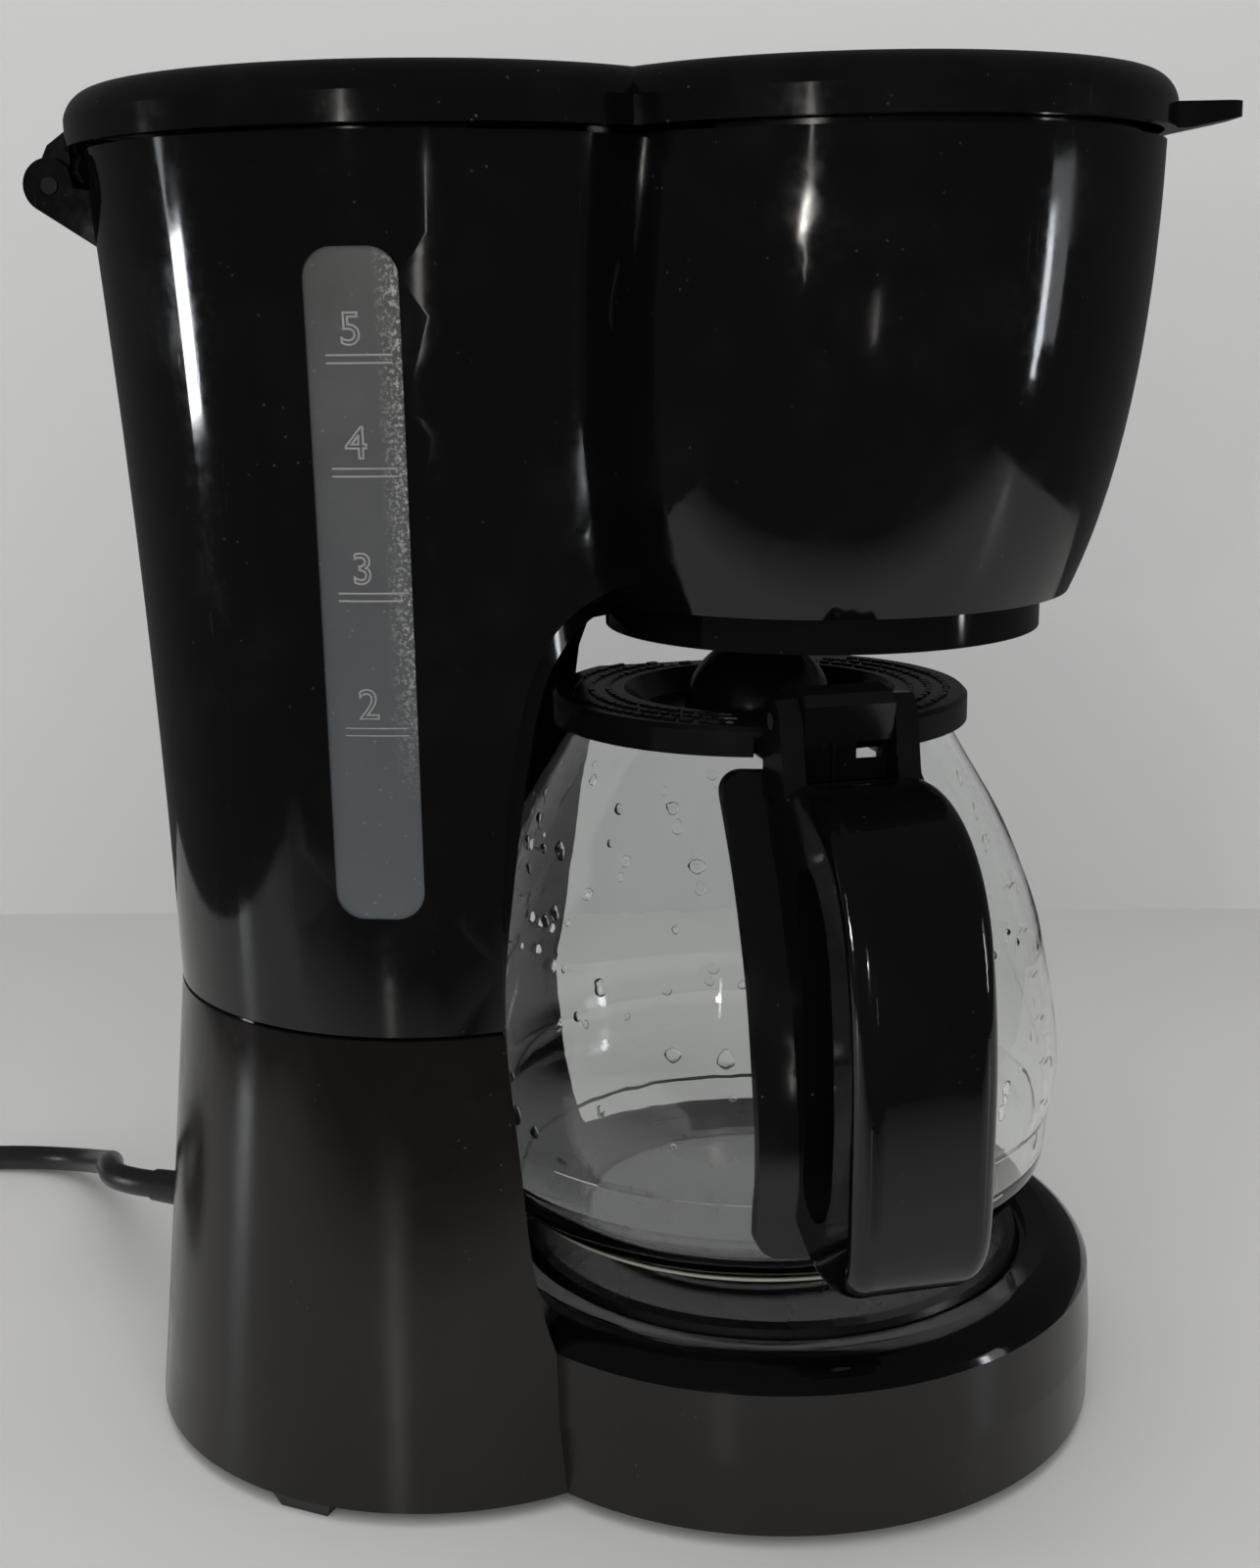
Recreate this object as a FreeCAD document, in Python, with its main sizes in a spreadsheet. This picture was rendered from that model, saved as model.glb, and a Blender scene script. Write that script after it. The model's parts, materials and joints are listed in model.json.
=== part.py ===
"""Five-cup drip coffee maker, built as separate pieces in one FreeCAD document.

Frame: millimetres, +Z up, the machine stands on z = 0. The middle of the warming plate is the
Z axis. The head and carafe face -Y, the water tank and power cord are at +Y, and the water
gauge is on the -X side.
"""
import FreeCAD, Part
import math
import os
import Sketcher
from FreeCAD import Placement, Rotation, Vector

DIMENSIONS = [
    # plan of the machine: a front lobe over the carafe and a rear lobe round the tank
    ("tank_y", 68.0), ("wall", 2.4), 
    ("tank_foot_radius", 59.3), ("tank_mid_radius", 54.9), ("tank_waist_radius", 50.3),
    ("tank_shoulder_radius", 53.1), ("tank_top_radius", 59.0),
    ("shell_bottom", 3.0), ("tank_mid_height", 46.0), ("seam_height", 92.7),
    ("tank_shoulder_height", 170.0), ("housing_top", 248.0),
    # head
    ("head_bottom", 167.5), ("band_bottom", 160.5), ("band_radius", 41.8), ("band_y", -9.3),
    # bay that the carafe stands in
    ("bay_radius", 66.0),
    # base
    ("base_radius", 66.0), ("base_wall_top", 30.6), ("base_wall_top_radius", 65.2),
    ("shoulder_crest_radius", 57.5), ("shoulder_crest", 36.0), ("well_radius", 52.9),
    ("well_edge", 35.1), ("well_floor", 32.0), ("well_bore", 46.0),
    # warming plate and heater
    ("plate_radius", 51.6), ("plate_flat_radius", 48.6), ("plate_top", 36.4), ("plate_skin", 1.2),
    ("heater_radius", 33.0), ("heater_tube", 9.0), ("heater_top", 35.0),
    ("thermostat_radius", 8.0), ("thermostat_depth", 9.0),
    # gauge window
    ("window_y", 71.2), ("window_width", 15.8), ("window_bottom", 115.4), ("window_top", 230.2),
    ("window_corner", 5.0), ("window_recess", 0.5), ("window_skin", 2.2),
    # lid
    ("lid_bottom", 248.4), ("lid_top", 258.3), ("lid_front_y", -13.5), ("lid_front_radius", 58.8),
    ("lid_rear_radius", 61.5), ("lid_skin", 2.2), ("lid_round", 7.0), ("lid_tilt", 0.4),
    ("lip_bottom", 244.6), ("lip_gap", 0.6), ("lip_skin", 1.6), ("tab_width", 16.0),
    # lid hinge
    ("hinge_y", 131.5), ("hinge_z", 242.5), ("hinge_pin_radius", 1.5), ("hinge_running", 0.06),
    ("ear_inner", 10.0), ("ear_outer", 13.0), ("ear_radius", 4.9), ("knuckle_radius", 4.0), ("knuckle_width", 5.0),
    ("overflow_height", 225.0), ("overflow_radius", 5.75),
    # brewing parts
    ("basket_skin", 1.8), ("basket_flange_top", 238.0), ("nozzle_radius", 11.0),
    ("valve_travel", 2.5), ("valve_tip", 157.7), ("valve_stem_radius", 3.1),
    ("valve_hole_radius", 3.5), ("valve_seat", 168.9), ("valve_spring_top", 180.0),
    ("riser_y", 77.0), ("riser_radius", 4.0), ("riser_bore", 2.6), ("spout_height", 241.7),
    # carafe
    ("carafe_y", 2.6), ("carafe_turn", 15.5), ("glass_bottom", 36.7), ("glass_skin", 1.9),
    ("lid_disc_radius", 40.5), ("lid_disc_top", 147.4), ("lid_disc_bottom", 142.0),
    ("dome_radius", 14.2), ("dome_top", 157.3), ("spout_chord", 31.0),
    ("grip_width", 25.0), ("plate_width", 38.4), ("plate_gap", 1.0), ("plate_wrap", 2.6),
    ("carafe_pin_x", 45.5), ("carafe_pin_z", 150.0), ("carafe_ear_gap", 17.0),
    ("carafe_ear_width", 4.2), ("handle_screw_x", 71.0),
    # electrical parts
    ("switch_turn", -50.0), ("switch_length", 21.0), ("switch_height", 15.0),
    ("switch_z", 17.0), ("rocker_tilt", 7.0), ("fit_gap", 0.3),
    ("cord_width", 6.0), ("cord_exit_x", 18.0), ("cord_exit_z", 31.5), ("relief_length", 22.0),
    ("coil_x", 60.0), ("coil_y", 246.0), ("coil_inner", 24.0), ("coil_outer", 42.0),
    # feet and fasteners
    ("foot_height", 3.0), ("foot_x", 50.5), ("foot_y", 88.5), ("front_foot_x", 44.0),
    ("front_foot_y", -26.0), ("screw_radius", 1.5), ("screw_head_radius", 3.0),
]

os.makedirs("parts", exist_ok=True)
doc = FreeCAD.newDocument("coffee_maker")
sheet = doc.addObject("Spreadsheet::Sheet", "dims")
for row, (alias, value) in enumerate(DIMENSIONS, start=1):
    sheet.set(f"A{row}", alias)
    sheet.set(f"B{row}", str(value))
    sheet.setAlias(f"B{row}", alias)
doc.recompute()
D = {alias: float(sheet.get(alias)) for alias, _ in DIMENSIONS}

NODES = []
Z_AXIS = Vector(0, 0, 1)
ORIGIN = Vector(0, 0, 0)


# ---------------------------------------------------------------- document helpers
def node(obj, name):
    """Mark a document object as one sub-part: its Label names its file."""
    obj.Label = name
    NODES.append(obj)
    return obj


def shaped(name, shape, placement=None):
    """A Part::Feature sub-part made by Part's own functions."""
    feature = doc.addObject("Part::Feature", name)
    feature.Shape = shape
    if placement is not None:
        feature.Placement = placement
    return node(feature, name)


def primitive(kind, name, at, sizes):
    """A Part primitive whose sizes and position are bound to the sheet."""
    solid = doc.addObject("Part::" + kind, name)
    for prop, expression in sizes.items():
        solid.setExpression(prop, str(expression))
    for axis, expression in zip("xyz", at):
        solid.setExpression("Placement.Base." + axis, str(expression))
    return solid


def drum(name, radius, height, at):
    return primitive("Cylinder", name, at, {"Radius": radius, "Height": height})


def subtract(name, base, tool):
    result = doc.addObject("Part::Cut", name)
    result.Base = base
    result.Tool = tool
    return result


def join(name, pieces):
    result = doc.addObject("Part::MultiFuse", name)
    result.Shapes = pieces
    return result


def group(name, pieces):
    """Several identical loose solids kept together as one sub-part."""
    result = doc.addObject("Part::Compound", name)
    result.Links = pieces
    return node(result, name)


def origin_plane(body, role):
    return next(f for f in body.Origin.OriginFeatures if f.Role == role)


def profile_sketch(body, name, role, corners):
    """A closed polygon whose corners are (x, y) expressions, pinned to the sketch's axes."""
    sketch = body.newObject("Sketcher::SketchObject", name)
    sketch.AttachmentSupport = (origin_plane(body, role), [""])
    sketch.MapMode = "FlatFace"
    places = [tuple(evaluate(text) for text in corner) for corner in corners]
    for here, there in zip(places, places[1:] + places[:1]):
        sketch.addGeometry(Part.LineSegment(Vector(*here, 0), Vector(*there, 0)), False)
    count = len(places)
    for i in range(count):
        sketch.addConstraint(Sketcher.Constraint("Coincident", i, 2, (i + 1) % count, 1))
    for i, (place, corner) in enumerate(zip(places, corners)):
        for kind, axis, value, text in (("DistanceX", -2, place[0], corner[0]),
                                        ("DistanceY", -1, place[1], corner[1])):
            if abs(value) < 1e-9:
                sketch.addConstraint(Sketcher.Constraint("PointOnObject", i, 1, axis))
                continue
            pin = sketch.addConstraint(Sketcher.Constraint(kind, -1, 1, i, 1, value))
            sketch.setExpression(f"Constraints[{pin}]", text)
    return sketch


def evaluate(text):
    """The value of a sheet expression, for a sketch's starting position."""
    sheet.set("D1", "=" + str(text).replace("dims.", ""))
    sheet.recompute()
    return float(sheet.get("D1"))


def turned_body(name, corners):
    """A PartDesign body: a profile in the XZ plane turned about the Z axis."""
    body = doc.addObject("PartDesign::Body", name)
    sketch = profile_sketch(body, name + "_profile", "XZ_Plane", corners)
    turn = body.newObject("PartDesign::Revolution", name + "_turn")
    turn.Profile = sketch
    turn.ReferenceAxis = (sketch, ["V_Axis"])
    turn.Angle = 360
    return node(body, name)


def move(body, x=0, y=0, z=0):
    for axis, text in zip("xyz", (x, y, z)):
        body.setExpression("Placement.Base." + axis, str(text))


# ---------------------------------------------------------------- shape helpers
def solid_of_turn(edges, centre_y=0.0, degrees=360.0):
    """Turn closed XZ edges about the vertical line through y = centre_y."""
    face = Part.Face(Part.Wire(Part.__sortEdges__(edges)))
    solid = face.revolve(ORIGIN, Z_AXIS, degrees)
    solid.translate(Vector(0, centre_y, 0))
    return solid


def polyline(points):
    return [Part.makeLine(a, b) for a, b in zip(points, points[1:]) if a.distanceToPoint(b) > 1e-6]


def xz(x, z):
    return Vector(x, 0, z)


def closed_profile(edges, start, end):
    """Close a profile that runs from start to end with lines to the axis."""
    top = xz(0, end.z)
    bottom = xz(0, start.z)
    return edges + polyline([end, top, bottom, start])


def curve_through(points):
    curve = Part.BSplineCurve()
    curve.interpolate(points)
    return curve.toShape()


def prism(points, direction):
    return Part.Face(Part.Wire(polyline(points + points[:1]))).extrude(direction)


def slab(low, high):
    size = high - low
    return Part.makeBox(size.x, size.y, size.z, low)


def rod(radius, start, end):
    along = end - start
    return Part.makeCylinder(radius, along.Length, start, along)


def circle_wire(radius, centre_y, height):
    return Part.Wire(Part.makeCircle(radius, Vector(0, centre_y, height), Z_AXIS))


def rounded_plan(width, height, corner):
    """A rectangle with round corners in the YZ plane, centred on the origin, as a face."""
    a, b = width / 2, height / 2
    edges = []
    for sy, sz, first in ((1, 1, 0), (-1, 1, 90), (-1, -1, 180), (1, -1, 270)):
        centre = Vector(0, sy * (a - corner), sz * (b - corner))
        at = [centre + Vector(0, math.cos(math.radians(t)), math.sin(math.radians(t))) * corner
              for t in (first, first + 45, first + 90)]
        edges.append(Part.Arc(*at).toShape())
    flats = [Part.makeLine(e.Vertexes[-1].Point, n.Vertexes[0].Point)
             for e, n in zip(edges, edges[1:] + edges[:1])]
    return Part.Face(Part.Wire(Part.__sortEdges__(edges + flats)))


# ---------------------------------------------------------------- housing outlines
def upper_lobe(inset=0.0, bottom=None, top=None):
    """The waisted column round the tank, above the seam."""
    bottom = D["seam_height"] if bottom is None else bottom
    top = D["housing_top"] if top is None else top
    low = xz(D["tank_waist_radius"] - inset, D["seam_height"])
    mid = xz(D["tank_shoulder_radius"] - inset, D["tank_shoulder_height"])
    high = xz(D["tank_top_radius"] - inset, D["housing_top"] + 4)
    side = Part.Arc(low, mid, high).toShape()
    lobe = solid_of_turn(closed_profile([side], low, high), D["tank_y"])
    return lobe.common(slab(Vector(-90, -90, bottom), Vector(90, 160, top)))


def lower_lobe(inset=0.0, bottom=None, top=None):
    """The column below the seam, which spreads towards the table."""
    bottom = D["shell_bottom"] if bottom is None else bottom
    top = D["seam_height"] if top is None else top
    low = xz(D["tank_foot_radius"] - inset, D["shell_bottom"])
    mid = xz(D["tank_mid_radius"] - inset, D["tank_mid_height"])
    high = xz(D["tank_waist_radius"] - inset, D["seam_height"])
    side = Part.Arc(low, mid, high).toShape()
    lobe = solid_of_turn(closed_profile([side], low, high), D["tank_y"])
    return lobe.common(slab(Vector(-90, -90, bottom), Vector(90, 160, top)))


HEAD_SECTIONS = (  # height above the head's bottom edge, radius, centre y
    (0.0, 47.0, -9.3), (11.1, 50.7, -9.9), (32.5, 55.0, -11.0), (56.0, 56.9, -12.3),
    (82.0, 57.0, -13.6),
)


def head_lobe(inset=0.0, bottom=None, top=None):
    """The rounded cup of the head, whose middle moves forward as it rises."""
    base = D["head_bottom"]
    bottom = base if bottom is None else bottom
    top = D["housing_top"] if top is None else top
    rings = [circle_wire(radius - inset, y, base + rise) for rise, radius, y in HEAD_SECTIONS]
    lobe = Part.makeLoft(rings, True, False)
    return lobe.common(slab(Vector(-90, -90, bottom), Vector(90, 160, top)))


BAY_LINER = ((60.5, 35.2), (63.6, 39.5), (65.4, 60.0), (66.9, 100.0), (64.8, 122.0), (60.4, 144.0),
             (54.6, 157.0), (43.5, 165.3))
BAY_SKIN = ((65.2, 30.6), (66.6, 37.0), (68.2, 65.0), (69.0, 100.0), (66.4, 147.0), (61.4, 163.0),
            (46.0, 171.8))


def bay_room(outline, inset):
    """The space that the carafe stands in, as a turned bullet moved outwards by inset."""
    points = [xz(r + inset, z + (inset if z > 150 else 0.0)) for r, z in outline]
    start, end = points[0], points[-1]
    side = curve_through(points)
    foot = xz(start.x, D["shell_bottom"] + 20)
    edges = [Part.makeLine(foot, start), side]
    return solid_of_turn(closed_profile(edges, foot, end))


def band_disc(inset=0.0, bottom=None, top=None):
    bottom = D["band_bottom"] if bottom is None else bottom
    top = D["head_bottom"] + 2 if top is None else top
    return Part.makeCylinder(D["band_radius"] - inset, top - bottom,
                             Vector(0, D["band_y"], bottom), Z_AXIS)


LINER_SIDE = ((47.8, 60.0), (47.6, 92.7), (48.2, 125.0), (46.4, 147.0), (44.3, 160.5), (43.4, 176.0))


def liner_lobe(inset, bottom, top):
    """The column's inner skin, which shows as a narrow strip round the bay's edge."""
    points = [xz(r - inset, z) for r, z in LINER_SIDE]
    lobe = solid_of_turn(closed_profile([curve_through(points)], points[0], points[-1]), D["tank_y"])
    return lobe.common(slab(Vector(-90, -90, bottom), Vector(90, 160, top)))


def upper_outline(inset=0.0, bottom=None, top=None):
    """Outer skin of the upper housing, or the same skin moved inwards."""
    bottom = D["seam_height"] if bottom is None else bottom
    top = D["housing_top"] if top is None else top
    skin = upper_lobe(inset, D["seam_height"] - 0.0, top + 1.2).cut(bay_room(BAY_SKIN, inset))
    skin = skin.fuse(head_lobe(inset, D["head_bottom"] + inset, top + 1.2))
    liner = liner_lobe(inset, bottom, D["head_bottom"] + 8).cut(bay_room(BAY_LINER, inset))
    skin = skin.fuse(liner)
    skin = skin.fuse(band_disc(inset, D["band_bottom"] + inset, D["head_bottom"] + 4))
    return skin.common(slab(Vector(-90, -90, bottom), Vector(90, 160, top)))


# ---------------------------------------------------------------- upper housing
def tank_cavity():
    wall = D["wall"]
    floor, top = D["seam_height"] + 3, D["housing_top"] + 2
    cavity = upper_lobe(wall, floor, top).cut(bay_room(BAY_SKIN, wall))
    narrow = liner_lobe(wall, floor, D["head_bottom"] + 8).cut(bay_room(BAY_LINER, wall))
    cavity = cavity.fuse(narrow)
    divider = head_lobe(-0.2, D["head_bottom"] - 0.2, D["housing_top"] + 3)
    return cavity.cut(divider).cut(band_disc(-0.2, D["band_bottom"] - 3, D["head_bottom"] + 4))


def brew_cavity():
    wall = D["wall"]
    cup = head_lobe(wall, D["head_bottom"] + wall, D["housing_top"] + 2)
    well = band_disc(wall, D["band_bottom"] + wall, D["head_bottom"] + 8)
    return cup.fuse(well)


def hinge_ear(side):
    """One of the two ears behind the tank that carry the lid's pin."""
    centre = Vector(0, D["hinge_y"], D["hinge_z"])
    r = D["ear_radius"]
    tangent_low = centre + Vector(0, math.cos(math.radians(-62)), math.sin(math.radians(-62))) * r
    tail = centre + Vector(0, r, 0.4)
    crown = centre + Vector(0, math.cos(math.radians(100)), math.sin(math.radians(100))) * r
    side_arc = Part.Arc(tangent_low, tail, crown).toShape()
    inside = D["tank_y"] + 53.0
    rest = polyline([crown, centre + Vector(0, -3.4, 3.0), centre + Vector(0, -4.2, -0.6),
                     Vector(0, inside, D["hinge_z"] - 1.2), Vector(0, inside, D["hinge_z"] - 12.6),
                     tangent_low])
    face = Part.Face(Part.Wire(Part.__sortEdges__([side_arc] + rest)))
    ear = face.extrude(Vector(D["ear_outer"] - D["ear_inner"], 0, 0))
    ear.translate(Vector(D["ear_inner"] if side > 0 else -D["ear_outer"], 0, 0))
    return ear


def window_prism(grow, near, far):
    height = D["window_top"] - D["window_bottom"]
    face = rounded_plan(D["window_width"] + 2 * grow, height + 2 * grow, D["window_corner"] + grow)
    face.translate(Vector(near, D["window_y"], (D["window_top"] + D["window_bottom"]) / 2))
    return face.extrude(Vector(far - near, 0, 0))


def seam_groove():
    """The fine V that shows where the two mouldings meet."""
    z, r = D["seam_height"], D["tank_waist_radius"]
    outer = solid_of_turn(polyline([xz(r - 0.5, z), xz(r + 1, z + 1.2), xz(r + 1, z - 1.2),
                                    xz(r - 0.5, z)]), D["tank_y"])
    inner = LINER_SIDE[1][0]
    strip = solid_of_turn(polyline([xz(inner - 0.5, z), xz(inner + 1, z + 1.2),
                                    xz(inner + 1, z - 1.2), xz(inner - 0.5, z)]), D["tank_y"])
    front = solid_of_turn(polyline([xz(D["bay_radius"] + 0.5, z), xz(D["bay_radius"] - 1, z + 1.2),
                                    xz(D["bay_radius"] - 1, z - 1.2),
                                    xz(D["bay_radius"] + 0.5, z)]))
    return outer, strip, front


def upper_housing():
    shell = upper_outline().cut(tank_cavity()).cut(brew_cavity())
    ledge = Part.makeCylinder(56.0, 2.2, Vector(0, -12.8, 233.6), Z_AXIS)
    ledge = ledge.common(head_lobe(1.0)).cut(Part.makeCylinder(52.0, 6, Vector(0, -12.8, 232), Z_AXIS))
    shell = shell.fuse(ledge)
    for side in (1, -1):
        ear = hinge_ear(side)
        shell = shell.fuse(ear.cut(upper_lobe(D["wall"], 200, 250)))
    pin_hole = Part.makeCylinder(D["hinge_pin_radius"], 60,
                                 Vector(-30, D["hinge_y"], D["hinge_z"]), Vector(1, 0, 0))
    shell = shell.cut(pin_hole)
    shell = shell.cut(window_prism(0.0, -75, -40))
    overflow = Part.makeCylinder(D["overflow_radius"], 20,
                                 Vector(0, D["tank_y"] + 48, D["overflow_height"]), Vector(0, 1, 0))
    shell = shell.cut(overflow)
    drip_hole = Part.makeCylinder(13.0, 10, Vector(0, 0, D["band_bottom"] - 3), Z_AXIS)
    notch = slab(Vector(-8.5, 30, D["spout_height"] - 5.5), Vector(8.5, 52, D["housing_top"] + 2))
    shell = shell.cut(drip_hole).cut(notch)
    for x, y in SPIGOTS:
        shell = shell.fuse(Part.makeCylinder(3.6, 11, Vector(x, y, D["seam_height"] - 8), Z_AXIS))
    for x, y in SPIGOTS:
        shell = shell.cut(Part.makeCylinder(2.4, 16, Vector(x, y, D["seam_height"] - 9), Z_AXIS))
    for groove in seam_groove():
        shell = shell.cut(groove)
    return shaped("upper_housing", shell)


def gauge_window():
    skin = upper_lobe(D["window_recess"], D["window_bottom"] - 5, D["window_top"] + 5).cut(
        upper_lobe(D["window_recess"] + D["window_skin"], D["window_bottom"] - 8,
                   D["window_top"] + 8))
    return shaped("gauge_window", skin.common(window_prism(0.0, -75, -40)))


SPIGOTS = ((-16.0, 92.0), (0.0, D["riser_y"]))


# ---------------------------------------------------------------- lid
def lid_disc(radius, centre_y, inset, bottom):
    """A round cap with a soft upper edge, or the room inside it, whose edge is a plain bevel."""
    r = radius - inset
    top = D["lid_top"] - inset
    edge = D["lid_round"] - inset * 0.6
    side = xz(r, top - edge * 0.72)
    crown = xz(r - edge, top)
    middle = xz(r - edge * 0.29, top - edge * 0.21)
    shoulder = Part.makeLine(side, crown) if inset else Part.Arc(side, middle, crown).toShape()
    edges = [Part.makeLine(xz(r, bottom), side), shoulder]
    return solid_of_turn(closed_profile(edges, xz(r, bottom), crown), centre_y)


def lid_plan(inset, bottom):
    return lid_disc(D["lid_front_radius"], D["lid_front_y"], inset, bottom).fuse(
        lid_disc(D["lid_rear_radius"], D["tank_y"], inset, bottom))


def lip_drum(inset, bottom):
    height = D["lid_top"] - D["lid_skin"] - bottom
    clear = D["wall"] + D["lip_gap"] + inset
    front = Part.makeCylinder(56.6 - clear, height, Vector(0, D["lid_front_y"], bottom), Z_AXIS)
    rear = Part.makeCylinder(D["tank_top_radius"] - 0.6 - clear, height,
                             Vector(0, D["tank_y"], bottom), Z_AXIS)
    return front.fuse(rear)


def lid():
    shell = lid_plan(0.0, D["lid_bottom"]).cut(lid_plan(D["lid_skin"], D["lid_bottom"] - 2))
    lip = lip_drum(0.0, D["lip_bottom"]).cut(lip_drum(D["lip_skin"], D["lip_bottom"] - 2))
    lip = lip.cut(slab(Vector(-70, 100, 230), Vector(70, 150, 270)))
    lip = lip.cut(slab(Vector(-70, 12, 230), Vector(70, 52, D["lid_bottom"] + 0.3)))
    shell = shell.fuse(lip)
    front_edge = D["lid_front_y"] - D["lid_front_radius"]
    tab_top = D["lid_bottom"] + 5.2
    tab = prism([Vector(0, front_edge + 4, tab_top), Vector(0, front_edge - 12, tab_top),
                 Vector(0, front_edge - 12, tab_top - 2.7), Vector(0, front_edge - 2, tab_top - 4.6),
                 Vector(0, front_edge + 4, tab_top - 4.6)], Vector(D["tab_width"], 0, 0))
    tab.translate(Vector(-D["tab_width"] / 2, 0, 0))
    corners = [e for e in tab.Edges if abs(e.Vertexes[0].Y - e.Vertexes[-1].Y) < 1e-6
               and abs(e.Vertexes[0].X - e.Vertexes[-1].X) < 1e-6
               and e.Vertexes[0].Y < front_edge - 11]
    tab = tab.makeFillet(3.5, corners)
    shell = shell.fuse(tab.cut(lid_plan(D["lid_skin"], D["lid_bottom"] - 8)))
    y, z, width = D["hinge_y"], D["hinge_z"], D["knuckle_width"]
    arm = prism([Vector(0, y - 3.0, z), Vector(0, y - 3.0, z + 6.3), Vector(0, y - 8, z + 7.6),
                 Vector(0, y - 8, z + 11), Vector(0, y - 2.4, z + 9.6), Vector(0, y + 1.0, z + 7.2),
                 Vector(0, y + 3.4, z + 2.4), Vector(0, y + 3.0, z)], Vector(width, 0, 0))
    ring = Part.makeCylinder(D["knuckle_radius"], width, Vector(0, y, z), Vector(1, 0, 0))
    hole = Part.makeCylinder(D["hinge_pin_radius"] + D["hinge_running"], 40,
                             Vector(-20, y, z), Vector(1, 0, 0))
    inner_room = lid_plan(D["lid_skin"], D["lid_bottom"] - 20)
    for x in (-D["ear_inner"] + 0.4, D["ear_inner"] - 0.4 - width):
        knuckle = arm.fuse(ring)
        knuckle.translate(Vector(x, 0, 0))
        shell = shell.fuse(knuckle.cut(inner_room))
    shell = shell.cut(hole)
    return shaped("lid", shell, lid_placement())


def lid_placement():
    """The closed lid stands a little proud at the front, turned about its own pin."""
    pin = Vector(0, D["hinge_y"], D["hinge_z"])
    turn = Rotation(Vector(-1, 0, 0), D["lid_tilt"])
    return Placement(pin - turn.multVec(pin), turn)


def lid_hinge_pin():
    pin = primitive("Cylinder", "lid_hinge_pin_rod", ("-dims.ear_outer - 0.6", "dims.hinge_y",
                    "dims.hinge_z"), {"Radius": "dims.hinge_pin_radius",
                                      "Height": "2 * dims.ear_outer + 1.2"})
    pin.Placement.Rotation = Rotation(Vector(0, 1, 0), 90)
    return node(pin, "lid_hinge_pin")


# ---------------------------------------------------------------- brewing parts
BASKET_SECTIONS = (  # height, radius, centre y: a skew cup that drains over the carafe
    (236.0, 50.4, -12.4), (215.0, 49.0, -11.4), (190.0, 43.5, -8.5), (176.0, 33.0, -4.6),
    (170.0, 20.0, 0.0),
)


def basket_lobe(inset):
    rings = [circle_wire(r - inset, y, z + (inset if z < 180 else 0.0))
             for z, r, y in reversed(BASKET_SECTIONS)]
    return Part.makeLoft(rings, True, False)


def filter_basket():
    cup = basket_lobe(0.0)
    flange = Part.makeCylinder(53.6, 2.0, Vector(0, -12.8, D["basket_flange_top"] - 2), Z_AXIS)
    nozzle = Part.makeCylinder(D["nozzle_radius"], 9.4, Vector(0, 0, 161.2), Z_AXIS)
    shape = cup.fuse(flange).fuse(nozzle)
    shape = shape.cut(basket_lobe(D["basket_skin"]))
    mouth = Part.makeCylinder(50.4 - D["basket_skin"], 6, Vector(0, -12.4, 235.5), Z_AXIS)
    shape = shape.cut(mouth)
    pocket = Part.makeCylinder(D["nozzle_radius"] - 2, 12, Vector(0, 0, D["valve_seat"]), Z_AXIS)
    below = Part.makeCylinder(D["nozzle_radius"] - 2, 6, Vector(0, 0, 160.9), Z_AXIS)
    hole = Part.makeCylinder(D["valve_hole_radius"], 12, Vector(0, 0, 160), Z_AXIS)
    return shaped("filter_basket", shape.cut(pocket).cut(below).cut(hole).removeSplitter())


def drip_valve_cage():
    """A snap-in bridge over the valve: a ring, a cap and three legs."""
    seat, top = D["valve_seat"], D["valve_spring_top"]
    ring = Part.makeCylinder(8.9, 1.2, Vector(0, 0, seat + 0.05), Z_AXIS).cut(
        Part.makeCylinder(7.7, 3, Vector(0, 0, seat - 1), Z_AXIS))
    cap = Part.makeCylinder(8.9, 1.6, Vector(0, 0, top), Z_AXIS).cut(
        Part.makeCylinder(1.7, 4, Vector(0, 0, top - 1), Z_AXIS))
    shape = ring.fuse(cap)
    leg = slab(Vector(7.7, -2, seat + 0.05), Vector(8.9, 2, top + 1.6)).common(
        Part.makeCylinder(8.9, 40, Vector(0, 0, seat - 5), Z_AXIS))
    for turn in (0, 120, 240):
        one = leg.copy()
        one.rotate(ORIGIN, Z_AXIS, turn)
        shape = shape.fuse(one)
    return shaped("drip_valve_cage", shape.removeSplitter())


def drip_valve_stem():
    disc = "dims.valve_seat + 1.3"
    return turned_body("drip_valve_stem", [
        ("0", "dims.valve_tip"), ("dims.valve_stem_radius - 0.9", "dims.valve_tip"),
        ("dims.valve_stem_radius", "dims.valve_tip + 0.9"), ("dims.valve_stem_radius", disc),
        ("7.2", disc), ("7.2", "dims.valve_seat + 2.7"), ("1.5", "dims.valve_seat + 2.7"),
        ("1.5", "dims.valve_spring_top + 1.2"), ("0", "dims.valve_spring_top + 1.2")])


def drip_valve_seal():
    return turned_body("drip_valve_seal", [
        ("dims.valve_stem_radius", "dims.valve_seat + 0.02"), ("6.6", "dims.valve_seat + 0.02"),
        ("6.6", "dims.valve_seat + 1.3"), ("dims.valve_stem_radius", "dims.valve_seat + 1.3")])


def drip_valve_spring():
    wire, coil_radius = 0.35, 2.9
    low = D["valve_seat"] + 2.7 + wire
    high = D["valve_spring_top"] - wire
    helix = Part.makeHelix((high - low) / 5.5, high - low, coil_radius)
    helix.translate(Vector(0, 0, low))
    section = Part.Wire(Part.makeCircle(wire, Vector(coil_radius, 0, low), Vector(0, 1, 0)))
    return shaped("drip_valve_spring", Part.Wire(helix.Edges).makePipeShell([section], True, True))


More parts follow.
